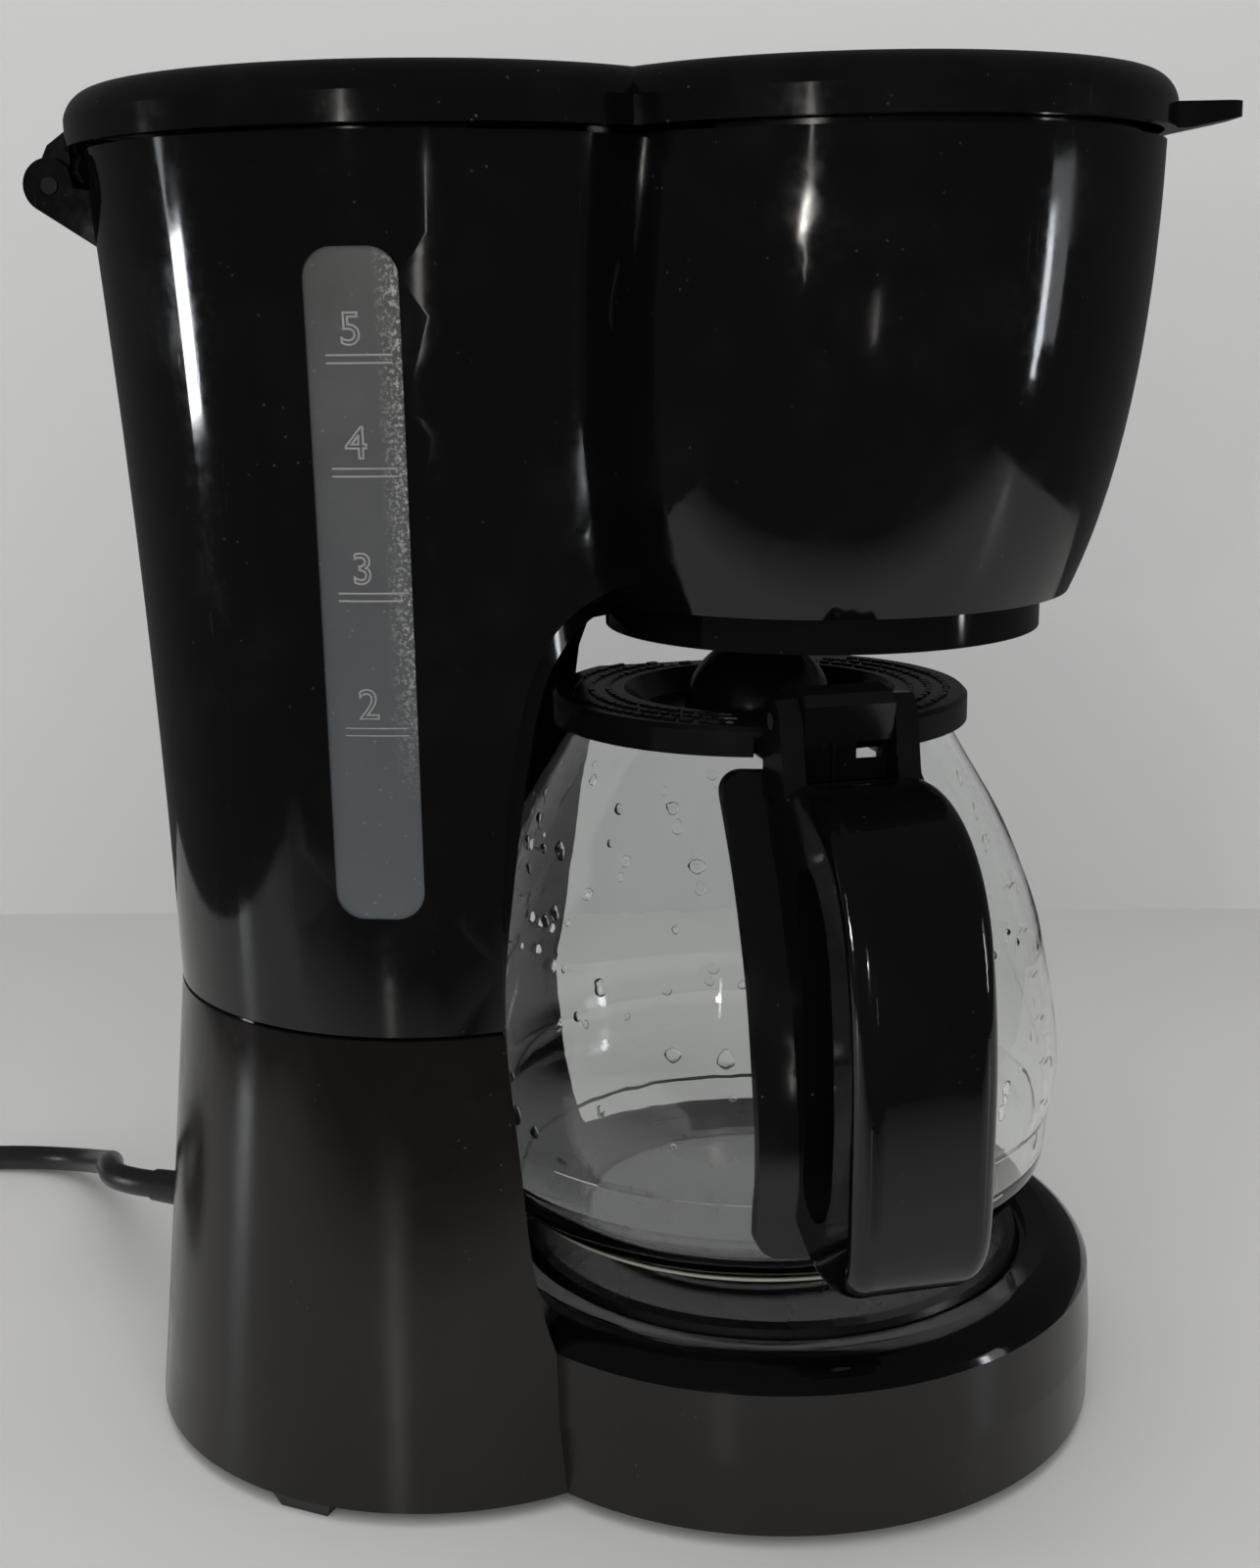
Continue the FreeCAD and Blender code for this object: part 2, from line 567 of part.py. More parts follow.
def riser_tube():
    low, high = D["seam_height"] + 3, D["spout_height"] - 3.6
    tube = drum("riser_outer", "dims.riser_radius", high - low, ("0", "dims.riser_y", low))
    bore = drum("riser_inner", "dims.riser_bore", high - low + 4, ("0", "dims.riser_y", low - 2))
    return node(subtract("riser_tube", tube, bore), "riser_tube")


def water_spout():
    """Carries hot water from the riser over the dividing wall to a shower rose."""
    z = D["spout_height"]
    channel = slab(Vector(-5.2, -12, z - 3.4), Vector(5.2, D["riser_y"] + 6, z + 2.6))
    cup = Part.makeCylinder(6.4, 7.4, Vector(0, D["riser_y"], z - 4.8), Z_AXIS)
    rose = Part.makeCylinder(15, 3.6, Vector(0, -12, z - 5.4), Z_AXIS)
    shape = channel.fuse(cup).fuse(rose)
    shape = shape.cut(rod(1.9, Vector(0, -14, z - 0.4), Vector(0, D["riser_y"], z - 0.4)))
    shape = shape.cut(Part.makeCylinder(D["riser_radius"] + 0.05, 1.3,
                                        Vector(0, D["riser_y"], z - 4.9), Z_AXIS))
    shape = shape.cut(Part.makeCylinder(D["riser_bore"], 5, Vector(0, D["riser_y"], z - 4.9), Z_AXIS))
    shape = shape.cut(Part.makeCylinder(13.4, 1.4, Vector(0, -12, z - 4.2), Z_AXIS).cut(
        Part.makeCylinder(3, 2, Vector(0, -12, z - 4.5), Z_AXIS)))
    for turn in range(0, 360, 45):
        hole = Part.makeCylinder(1.1, 3, Vector(10, 0, z - 6), Z_AXIS)
        hole.rotate(ORIGIN, Z_AXIS, turn)
        hole.translate(Vector(0, -12, 0))
        shape = shape.cut(hole)
    return shaped("water_spout", shape.removeSplitter())


# ---------------------------------------------------------------- base
def base_profile(inset):
    """The front lobe of the base with its glossy shoulder round the plate."""
    foot = xz(D["base_radius"] - inset, D["shell_bottom"])
    belt = xz(D["base_radius"] - inset, D["shell_bottom"] + 14)
    edge = xz(D["base_wall_top_radius"] - inset, D["base_wall_top"] - inset * 0.4)
    crest = xz(D["shoulder_crest_radius"] - inset * 0.4, D["shoulder_crest"] - inset)
    lip = xz(D["well_radius"] - inset * 0.2, D["well_edge"] - inset)
    over = xz((edge.x * 0.52 + crest.x * 0.48), crest.z - 1.15)
    edges = polyline([foot, belt, edge])
    edges += [Part.Arc(edge, over, crest).toShape(), Part.makeLine(crest, lip)]
    return solid_of_turn(closed_profile(edges, foot, lip))


def base_outline(inset=0.0):
    skin = lower_lobe(inset).cut(bay_room(BAY_SKIN, inset))
    liner = liner_lobe(inset, 62.0, D["seam_height"]).cut(bay_room(BAY_LINER, inset))
    low_liner = lower_lobe(inset + 4.5, None, 64.0).cut(bay_room(BAY_LINER, inset))
    shape = skin.fuse(low_liner).fuse(liner).fuse(base_profile(inset))
    if inset:
        room = liner_lobe(inset, D["seam_height"] - 3, D["seam_height"] + 2)
        shape = shape.fuse(room.cut(bay_room(BAY_LINER, inset)))
    return shape


def base_shell():
    wall = D["wall"]
    room = base_outline(wall).fuse(slab(Vector(-1, -1, 1), Vector(1, 1, 4)))
    low = lower_foot_room()
    shell = base_outline().cut(room).cut(low)
    well = Part.makeCylinder(D["well_radius"], 10, Vector(0, 0, D["well_floor"] + 1.6), Z_AXIS)
    bore = Part.makeCylinder(D["well_bore"], 20, Vector(0, 0, D["well_floor"] - 8), Z_AXIS)
    seat = Part.makeCylinder(D["well_radius"] + 1.6, 1.6, Vector(0, 0, D["well_floor"]), Z_AXIS)
    shell = shell.cut(well).fuse(seat.cut(bore)).cut(bore)
    for groove in seam_groove():
        shell = shell.cut(groove)
    shell = shell.cut(switch_cutout()).cut(cord_hole())
    for room in HOSE_ROOM:
        shell = shell.cut(room)
    for x, y in COVER_SCREWS:
        post = Part.makeCylinder(3.6, 12, Vector(x, y, COVER_TOP), Z_AXIS)
        rib = slab(Vector(-0.9, 0, COVER_TOP), Vector(0.9, 60, COVER_TOP + 12))
        angle = math.degrees(math.atan2(y - post_centre_y(y), x)) - 90
        rib.rotate(ORIGIN, Z_AXIS, angle)
        rib.translate(Vector(x, y, 0))
        shell = shell.fuse(post).fuse(rib.common(base_outline(1.0)))
        shell = shell.cut(Part.makeCylinder(D["screw_radius"], 9, Vector(x, y, COVER_TOP - 1), Z_AXIS))
    return shaped("base_shell", shell.removeSplitter())


def post_centre_y(y):
    return D["tank_y"] if y > 40 else 0.0


COVER_BOTTOM = 4.0
COVER_TOP = 6.0
COVER_SCREWS = ((-38.0, 99.0), (38.0, 99.0), (-47.0, -6.0), (47.0, -6.0))


def lower_foot_room():
    """Clears the underside so that the bottom cover sits inside the skirt."""
    return cover_plan(D["wall"], 1.0, COVER_TOP + 0.5)


def cover_plan(inset, low, high):
    front = Part.makeCylinder(D["base_radius"] - inset, high - low, Vector(0, 0, low), Z_AXIS)
    rear = Part.makeCylinder(D["tank_foot_radius"] - inset - 0.2, high - low,
                             Vector(0, D["tank_y"], low), Z_AXIS)
    return front.fuse(rear)


def switch_frame(shape):
    """Move a shape drawn facing +X to the switch's place on the base wall."""
    shape.rotate(ORIGIN, Z_AXIS, D["switch_turn"])
    return shape


def switch_cutout():
    r, z = D["base_radius"], D["switch_z"]
    a, b = D["switch_length"] / 2 - 1, D["switch_height"] / 2 - 1
    recess = slab(Vector(r - 0.7, -a - 1.1, z - b - 1.1), Vector(r + 6, a + 1.1, z + b + 1.1))
    return switch_frame(slab(Vector(r - 8, -a, z - b), Vector(r + 6, a, z + b)).fuse(recess))


def cord_hole():
    start, along = cord_exit()
    return Part.makeCylinder(D["cord_width"] / 2 + 1.6, 12, start - along * 8, along)


def cord_exit():
    """Where the cord crosses the base's skin, and the outward direction there."""
    x = D["cord_exit_x"]
    radius = D["tank_foot_radius"] - (D["cord_exit_z"] - D["shell_bottom"]) * 0.099
    y = math.sqrt(radius ** 2 - x ** 2)
    along = Vector(x, y, 0).normalize()
    return Vector(x, D["tank_y"] + y, D["cord_exit_z"]), along


def bottom_cover():
    plate = cover_plan(D["wall"] + 0.3, COVER_BOTTOM, COVER_TOP)
    for x, y in COVER_SCREWS:
        plate = plate.cut(Part.makeCylinder(D["screw_radius"] + 0.3, 5, Vector(x, y, 3), Z_AXIS))
    for i in range(5):
        vent = slab(Vector(-16, -14 + 7 * i, 3), Vector(16, -11 + 7 * i, 7))
        plate = plate.cut(vent)
    return shaped("bottom_cover", plate.removeSplitter())


def screw(name, x, y, head_bottom, length):
    head = drum(name + "_head", "dims.screw_head_radius", "1.6", (x, y, head_bottom))
    shank = drum(name + "_shank", "dims.screw_radius", length, (x, y, head_bottom + 1.6))
    return join(name, [head, shank])


def cover_screws():
    screws = [screw(f"cover_screw_{i}", x, y, COVER_BOTTOM - 1.6, 9.0)
              for i, (x, y) in enumerate(COVER_SCREWS)]
    return group("cover_screws", screws)


def feet():
    """Four tapered rubber pads, each with a peg up to the bottom cover."""
    pads = []
    rear, front = (D["foot_x"], D["foot_y"], 22.0), (D["front_foot_x"], D["front_foot_y"], -30.0)
    height = D["foot_height"]
    for side in (1, -1):
        for x, y, turn in (rear, front):
            rings = []
            for z, a, b in ((0.0, 3.4, 5.0), (height, 4.4, 6.2)):
                corners = [Vector(x - a, y - b, z), Vector(x + a, y - b, z), Vector(x + a, y + b, z),
                           Vector(x - a, y + b, z)]
                rings.append(Part.makePolygon([Vector(side * c.x, c.y, c.z) for c in corners + corners[:1]]))
            pad = Part.makeLoft(rings, True, True)
            pad.rotate(Vector(side * x, y, 0), Z_AXIS, side * turn)
            peg = Part.makeCylinder(2.4, COVER_BOTTOM - height + 1,
                                    Vector(side * (x - 1.8), y, height - 1), Z_AXIS)
            pads.append(pad.fuse(peg))
    return shaped("feet", Part.makeCompound(pads))


# ---------------------------------------------------------------- warming plate and heater
def warming_plate():
    skin = "dims.plate_skin"
    return turned_body("warming_plate", [
        ("0", "dims.plate_top"), ("dims.plate_flat_radius", "dims.plate_top"),
        ("dims.plate_flat_radius + 1.9", "dims.plate_top - 0.7"),
        ("dims.plate_radius - 0.4", "dims.plate_top - 1.9"),
        ("dims.plate_radius", "dims.well_floor + 1.6"),
        (f"dims.plate_radius - {skin}", "dims.well_floor + 1.6"),
        (f"dims.plate_radius - {skin}", "dims.plate_top - 2.4"),
        ("dims.plate_flat_radius", f"dims.plate_top - {skin}"), ("0", f"dims.plate_top - {skin}")])


def heater():
    """A horseshoe of aluminium with a water tube beside the heating rod."""
    r, w, top = D["heater_radius"], D["heater_tube"], D["heater_top"] - 0.2
    corner = [xz(r - w, top - 9), xz(r - w, top - 2), xz(r - w + 2, top), xz(r + 2, top),
              xz(r + 4, top - 2), xz(r + 4, top - 9), xz(r - w, top - 9)]
    face = Part.Face(Part.Wire(polyline(corner)))
    shoe = face.revolve(ORIGIN, Z_AXIS, 290)
    shoe.rotate(ORIGIN, Z_AXIS, 125)
    water_r = r - w + 4.4
    ends = []
    for angle in (125, 125 + 290):
        t = math.radians(angle)
        start = Vector(water_r * math.cos(t), water_r * math.sin(t) - 2, top - 9.6)
        ends.append((start, Vector(start.x, HEATER_STUB_Y, start.z)))
    for start, end in ends:
        shoe = shoe.fuse(rod(3.2, start, end))
    for start, end in ends:
        shoe = shoe.cut(rod(2.2, start + Vector(0, 3, 0), end + Vector(0, 3, 0)))
    return shaped("heater", shoe), [end for _, end in ends]


HEATER_STUB_Y = 52.0


def heater_extras():
    top = D["heater_top"] - 9.4
    bracket = slab(Vector(-39, -7, top - 1.4), Vector(39, 7, top)).fuse(
        Part.makeCylinder(13, 1.4, Vector(0, 0, top - 1.4), Z_AXIS)).cut(
        Part.makeCylinder(D["thermostat_radius"] + 0.2, 6, Vector(0, 0, top - 3), Z_AXIS))
    shaped("heater_bracket", bracket)
    thermostat = turned_body("thermostat", [
        ("0", "dims.plate_top - dims.plate_skin - 0.1"),
        ("dims.thermostat_radius - 1", "dims.plate_top - dims.plate_skin - 0.1"),
        ("dims.thermostat_radius - 1", "dims.plate_top - dims.plate_skin - dims.thermostat_depth"),
        ("dims.thermostat_radius", "dims.plate_top - dims.plate_skin - dims.thermostat_depth"),
        ("dims.thermostat_radius", "dims.plate_top - dims.plate_skin - 2 * dims.thermostat_depth / 1.5"),
        ("0", "dims.plate_top - dims.plate_skin - 2 * dims.thermostat_depth / 1.5")])
    fuses = []
    for i, angle in enumerate((205, 335)):
        t = math.radians(angle)
        middle = Vector(33 * math.cos(t), 33 * math.sin(t), top - 3.8)
        along = Vector(-math.sin(t), math.cos(t), 0)
        fuses.append(rod(2.0, middle - along * 9, middle + along * 9))
    shaped("thermal_fuses", Part.makeCompound(fuses))
    gasket = turned_body("plate_gasket", [
        ("dims.plate_radius - 5", "dims.well_floor + 1.62"),
        ("dims.plate_radius - 1.4", "dims.well_floor + 1.62"),
        ("dims.plate_radius - 1.4", "dims.well_floor + 2.0"),
        ("dims.plate_radius - 5", "dims.well_floor + 2.0")])
    return thermostat, gasket


# ---------------------------------------------------------------- hoses and wires
def bent_path(points, share=0.45):
    """Straight runs joined by tangent arcs, each as large as its two runs allow."""
    edges, radii = [], []
    last = points[0]
    for before, here, after in zip(points, points[1:], points[2:]):
        back, ahead = before - here, after - here
        reach = share * min(back.Length, ahead.Length)
        turn = math.pi - back.getAngle(ahead)
        radii.append(reach / math.tan(turn / 2))
        start = here + back.normalize() * reach
        end = here + ahead.normalize() * reach
        bisector = (back + ahead).normalize()
        centre = here + bisector * (radii[-1] / math.cos(turn / 2))
        middle = centre + (here - centre).normalize() * radii[-1]
        if last.distanceToPoint(start) > 1e-6:
            edges.append(Part.LineSegment(last, start).toShape())
        edges.append(Part.Arc(start, middle, end).toShape())
        last = end
    edges.append(Part.LineSegment(last, points[-1]).toShape())
    return Part.Wire(edges), radii


def tube_along(points, radius, bore=0.0):
    path, radii = bent_path(points)
    direction = points[1] - points[0]
    outer = path.makePipeShell([Part.Wire(Part.makeCircle(radius, points[0], direction))], True, False)
    if bore:
        inner = path.makePipeShell([Part.Wire(Part.makeCircle(bore, points[0], direction))],
                                   True, False)
        outer = outer.cut(inner)
    return outer, path, radii


HOSE_ROOM = []


def hoses(stubs):
    """Cold water from the tank to the heater, and hot water from the heater to the riser."""
    stub_by_x = sorted(stubs, key=lambda p: p.x)
    clips = []
    for name, stub, spigot in (("inlet_hose", stub_by_x[0], SPIGOTS[0]),
                               ("outlet_hose", stub_by_x[1], SPIGOTS[1])):
        top = Vector(spigot[0], spigot[1], D["seam_height"] - 0.2)
        low = stub - Vector(0, 8, 0)
        corner = Vector(stub.x, stub.y + 12, stub.z)
        rise = Vector(top.x, top.y, stub.z + 22)
        hose, _, _ = tube_along([low, corner, rise, top], 5.4, 3.8)
        shaped(name, hose)
        HOSE_ROOM.append(tube_along([low, corner, rise, top - Vector(0, 0, 4)], 5.6)[0])
        clips.append(Part.makeCylinder(6.6, 5, Vector(top.x, top.y, top.z - 6), Z_AXIS).cut(
            Part.makeCylinder(5.5, 9, Vector(top.x, top.y, top.z - 8), Z_AXIS)))
        clips.append(Part.makeCylinder(6.6, 4, stub - Vector(0, 7.6, 0), Vector(0, 1, 0)).cut(
            Part.makeCylinder(5.5, 9, stub - Vector(0, 10, 0), Vector(0, 1, 0))))
    shaped("hose_clips", Part.makeCompound(clips))


def check_valve(stubs):
    """A ball valve pushed into the cold hose, so that boiling water can't go back to the tank."""
    cold = min(stubs, key=lambda p: p.x)
    start = Vector(cold.x, cold.y + 0.3, cold.z)
    body = rod(3.7, start, start + Vector(0, 5.6, 0))
    body = body.cut(rod(2.4, start + Vector(0, 1.2, 0), start + Vector(0, 6, 0)))
    body = body.cut(rod(1.2, start - Vector(0, 1, 0), start + Vector(0, 9, 0)))
    shaped("check_valve", body)
    ball = Part.makeSphere(1.7, start + Vector(0, 3.2, 0))
    shaped("check_valve_ball", ball)


def power_switch():
    r, z = D["base_radius"], D["switch_z"]
    a, b = D["switch_length"] / 2, D["switch_height"] / 2
    flange = slab(Vector(r - 0.6, -a, z - b), Vector(r + 1.2, a, z + b))
    body = slab(Vector(r - 15, -a + 1.3, z - b + 1.3), Vector(r - 0.6, a - 1.3, z + b - 1.3))
    room = slab(Vector(r - 7.5, -a + 2.6, z - b + 2.6), Vector(r + 3, a - 2.6, z + b - 2.6))
    shape = flange.fuse(body).cut(room)
    for y in (-5, 5):
        shape = shape.fuse(slab(Vector(r - 23, y - 0.4, z - 3.1), Vector(r - 15, y + 0.4, z + 3.1)))
    pivot_low = Vector(r - 1.5 - 0.0, 0, z - b + 1.5)
    shape = shape.removeSplitter().cut(Part.makeCylinder(1.25, 2 * b - 3, pivot_low, Z_AXIS))
    shaped("power_switch", switch_frame(shape))
    inner = a - 2.6 - D["fit_gap"]
    depth = 6.0
    tilt = math.tan(math.radians(D["rocker_tilt"])) * inner
    outline = [Vector(r - 1.0, -inner, 0), Vector(r + 1.9 - tilt, -inner, 0), Vector(r + 1.4, 0, 0),
               Vector(r + 1.9 - tilt, inner, 0), Vector(r - 1.0, inner, 0),
               Vector(r - depth + 1.4, 2.2, 0), Vector(r - depth + 1.4, -2.2, 0)]
    rocker = prism(outline, Vector(0, 0, 2 * (b - 2.6 - D["fit_gap"])))
    rocker.translate(Vector(0, 0, z - (b - 2.6 - D["fit_gap"])))
    rocker.rotate(Vector(r - 1.5, 0, z), Z_AXIS, -D["rocker_tilt"])
    rocker = rocker.fuse(Part.makeCylinder(1.2, 2 * b - 3.4, pivot_low + Vector(0, 0, 0.2), Z_AXIS))
    shaped("power_rocker", switch_frame(rocker))


def wiring():
    """Leads from the switch and cord to the heater, with their closed-end joints."""
    start, along = cord_exit()
    gland = start - along * 12
    turn = math.radians(D["switch_turn"])
    out = Vector(math.cos(turn), math.sin(turn), 0)
    side = Vector(-math.sin(turn), math.cos(turn), 0)
    post = out * (D["base_radius"] - 23.2) + Vector(0, 0, D["switch_z"])
    cap_a, cap_b, back = Vector(22, 62, 14), Vector(34, 60, 14), Vector(0, 1, 0)
    leads = [
        tube_along([post + side * 5, post + side * 9 - out * 6, Vector(44, 8, 14), cap_b - back], 0.9)[0],
        tube_along([post - side * 5, post - side * 5 - out * 9, Vector(30, 30, 12), cap_a - back], 0.9)[0],
        tube_along([gland + Vector(-1.5, 0, 0), Vector(16, 92, 27), cap_a + Vector(0, 15, 0)], 0.9)[0],
        tube_along([gland + Vector(1.5, 0, 0), Vector(28, 92, 26), cap_b + Vector(0, 15, 0)], 0.9)[0],
    ]
    shaped("lead_wires", Part.makeCompound(leads))
    caps = [rod(3.2, p, p + Vector(0, 14, 0)) for p in (cap_a, cap_b)]
    shaped("wire_joints", Part.makeCompound(caps))


# ---------------------------------------------------------------- carafe
def carafe_placement():
    return Placement(Vector(0, D["carafe_y"], 0), Rotation(Z_AXIS, D["carafe_turn"]))


GLASS_PROFILE = (  # radius and height above the glass's foot, from the foot to the neck
    (35.5, 0.0), (42.0, 3.8), (49.5, 8.6), (55.2, 13.4), (58.2, 20.0),
)
HEEL_SHIFT = ((0.2, 1.0), (0.52, 0.86), (0.6, 0.8), (0.82, 0.57), (1.0, 0.05))
GLASS_BAND_TOP = 27.4
GLASS_BULB = (
    (58.7, 27.4), (59.9, 32.6), (60.1, 38.6), (59.2, 47.0), (57.6, 55.6), (55.3, 66.0),
    (51.9, 75.6), (47.5, 85.6), (42.9, 93.6), (38.3, 101.4), (36.2, 106.0), (35.7, 108.4),
)


def glass_edges(inset, floor, top_trim=0.0):
    low = D["glass_bottom"]
    heel = [xz(r - inset * a, low + h + floor * b)
            for (r, h), (a, b) in zip(GLASS_PROFILE, HEEL_SHIFT)]
    bulb = [xz(r - inset, low + h) for r, h in GLASS_BULB]
    if top_trim:
        bulb[-1] = xz(bulb[-1].x, bulb[-1].z + top_trim)
    edges = [curve_through(heel), Part.makeLine(heel[-1], bulb[0]), curve_through(bulb)]
    return closed_profile(edges, heel[0], bulb[-1])


def carafe_glass():
    outer = solid_of_turn(glass_edges(0.0, 0.0))
    inner = solid_of_turn(glass_edges(D["glass_skin"], 2.6, 2.0))
    return shaped("carafe_glass", outer.cut(inner), carafe_placement())


def carafe_lid():
    """A disc with a stepped well and a dome that works the drip valve."""
    r, top, low = D["lid_disc_radius"], D["lid_disc_top"], D["lid_disc_bottom"]
    dome, crown = D["dome_radius"], D["dome_top"]
    well = top - 4.6
    skin = 1.6
    outer = polyline([xz(r, low), xz(r, top - 0.8), xz(r - 0.8, top), xz(26.5, top),
                      xz(24.0, well), xz(dome + 0.4, well)])
    outer.append(Part.Arc(xz(dome + 0.4, well), xz(dome * 0.80, crown - 5.4), xz(1.6, crown)).toShape())
    outer += polyline([xz(1.6, crown), xz(0, crown), xz(0, crown - skin), xz(1.6, crown - skin)])
    outer.append(Part.Arc(xz(1.6, crown - skin), xz((dome - skin) * 0.80, crown - 5.4 - skin * 0.8),
                          xz(dome + 0.4 - skin, well - skin)).toShape())
    outer += polyline([xz(dome + 0.4 - skin, well - skin), xz(25.0, well - skin),
                       xz(27.6, top - skin), xz(r - skin, top - skin), xz(r - skin, low), xz(r, low)])
    shape = solid_of_turn(outer)
    cut = slab(Vector(D["spout_chord"], -60, low - 5), Vector(60, 60, top + 5))
    shape = shape.cut(cut)
    reach = D["carafe_ear_gap"] / 2 + D["carafe_ear_width"] + 0.6
    shape = shape.cut(slab(Vector(-45, -reach, low - 3), Vector(-36, reach, top - skin)))
    shape = shape.cut(slab(Vector(-45, -reach, low - 3), Vector(-40.0, reach, top + 3)))
    chord = D["spout_chord"]
    rim = slab(Vector(chord - 1.6, -24, top - 1.6), Vector(chord, 24, top - 0.6))
    rim = rim.fuse(slab(Vector(chord - 1.6, -12.6, low), Vector(chord, 12.6, top - 1.0)))
    shape = shape.fuse(rim.common(Part.makeCylinder(r - 0.4, 20, Vector(0, 0, low - 2), Z_AXIS)))
    px, pz = D["carafe_pin_x"], D["carafe_pin_z"]
    half = D["carafe_ear_gap"] / 2 - D["fit_gap"]
    lever = [Vector(-r + 5.5, 0, top - 1.2), Vector(-r + 5.5, 0, top + 5.0), Vector(-px + 2, 0, pz + 5.4),
             Vector(-px - 4.5, 0, pz + 5.0), Vector(-px - 6.2, 0, pz + 3.2), Vector(-px - 4.4, 0, pz - 3.6),
             Vector(-px + 1.5, 0, pz - 4.6), Vector(-r - 1.0, 0, top - 2.0)]
    block = prism(lever, Vector(0, 2 * half, 0))
    block.translate(Vector(0, -half, 0))
    shape = shape.fuse(block)
    shape = shape.cut(Part.makeCylinder(1.56, 60, Vector(-px, -30, pz), Vector(0, 1, 0)))
    return shaped("carafe_lid", shape.removeSplitter(), carafe_placement())


def grip_wire(points):
    """A closed outline in the carafe's XZ plane, smooth through its points."""
    curve = Part.BSplineCurve()
    curve.interpolate([xz(-x, z) for x, z in points], True)
    return Part.Wire(curve.toShape())


GRIP_OUTER = (  # distance from the carafe's axis, height
    (52.0, 139.5), (62.0, 141.6), (73.0, 139.0), (83.0, 130.6), (89.3, 115.0), (91.4, 96.0),
    (91.2, 78.0), (88.4, 63.4), (80.0, 57.4), (70.0, 56.2), (62.5, 58.5),
)
GRIP_ROOT = ((52.0, 66.0), (45.0, 82.0), (39.0, 104.0), (38.5, 126.0), (43.0, 136.0))
GRIP_HOLE = (
    (61.0, 127.0), (66.5, 128.6), (72.6, 123.6), (77.6, 110.0), (79.4, 94.0), (79.2, 80.0),
    (76.0, 70.4), (70.0, 67.4), (66.0, 69.0), (65.2, 80.0), (64.9, 95.0), (62.8, 110.0),
    (60.0, 120.0),
)


def grip_block():
    """The solid grip with its soft edges, before it is hollowed and split."""
    half = D["grip_width"] / 2
    block = Part.Face(grip_wire(GRIP_OUTER + GRIP_ROOT)).extrude(Vector(0, 2 * half, 0))
    block.translate(Vector(0, -half, 0))
    rims = [e for e in block.Edges if e.BoundBox.YLength < 0.01]
    return block.makeFillet(4.2, rims)


def handle_hole():
    half = D["grip_width"]
    hole = Part.Face(grip_wire(GRIP_HOLE)).extrude(Vector(0, 2 * half, 0))
    hole.translate(Vector(0, -half, 0))
    return hole


def glass_room(gap):
    """The space round the glass that the handle keeps clear of."""
    return solid_of_turn(glass_edges(-gap, 0.0))


def shield():
    """The curved plate of the handle that follows the glass."""
    band = glass_room(D["plate_gap"] + D["plate_wrap"]).cut(glass_room(D["plate_gap"]))
    window = rounded_plan(D["plate_width"], 84.0, 4.5)
    window.translate(Vector(0, 0, 97.5))
    band = band.common(window.extrude(Vector(-90, 0, 0)))
    return band.common(slab(Vector(-90, -60, 50), Vector(-30, 60, 139.6)))


def carafe_handle():
    block = grip_block().cut(glass_room(D["plate_gap"] + 0.2))
    block = block.cut(handle_hole()).cut(handle_screw_hole())
    split = grip_split()
    cover = block.common(split)
    cover = cover.cut(slab(Vector(-80, -20, 50), Vector(-40, 20, 68)))
    frame = block.cut(cover)
    frame = frame.fuse(shield())
    low = D["lid_disc_bottom"] + 0.3
    collar = Part.makeCylinder(38.4, 3.2, Vector(0, 0, low), Z_AXIS).cut(
        Part.makeCylinder(36.8, 12, Vector(0, 0, low - 3), Z_AXIS))
    px, pz = D["carafe_pin_x"], D["carafe_pin_z"]
    gap, width = D["carafe_ear_gap"] / 2, D["carafe_ear_width"]
    ear_outline = [Vector(-41.6, 0, 136.5), Vector(-41.6, 0, pz - 0.5), Vector(-px + 2.4, 0, pz + 3.6),
                   Vector(-px - 2.6, 0, pz + 4.2), Vector(-px - 5.0, 0, pz + 1.6),
                   Vector(-px - 7.0, 0, 141.6), Vector(-px - 9.0, 0, 136.5)]
    for side in (1, -1):
        ear = prism(ear_outline, Vector(0, width, 0))
        ear.translate(Vector(0, gap if side > 0 else -gap - width, 0))
        frame = frame.fuse(ear)
    frame = frame.cut(Part.makeCylinder(1.5, 60, Vector(-px, -30, pz), Vector(0, 1, 0)))
    for side in (1, -1):
        strap = slab(Vector(-43.5, gap, low), Vector(-30, gap + width, low + 2.2))
        if side < 0:
            strap = slab(Vector(-43.5, -gap - width, low), Vector(-30, -gap, low + 2.2))
        frame = frame.fuse(strap.cut(Part.makeCylinder(37.0, 20, Vector(0, 0, low - 5), Z_AXIS)))
    frame = frame.fuse(collar)
    shaped("handle_frame", frame, carafe_placement())
    shaped("handle_cover", cover, carafe_placement())
    shaped("handle_screw", handle_screw(), carafe_placement())


def handle_screw():
    """Holds the cover to the frame from below, in a counterbored hole."""
    x, low = -D["handle_screw_x"], 57.4
    head = Part.makeCylinder(2.8, 1.6, Vector(x, 0, low), Z_AXIS)
    return head.fuse(Part.makeCylinder(1.4, 8.0, Vector(x, 0, low + 1.6), Z_AXIS))


def handle_screw_hole():
    x, low = -D["handle_screw_x"], 57.4
    hole = Part.makeCylinder(3.0, 8.0, Vector(x, 0, low - 6.4), Z_AXIS)
    return hole.fuse(Part.makeCylinder(1.4, 8.0, Vector(x, 0, low + 1.6), Z_AXIS))


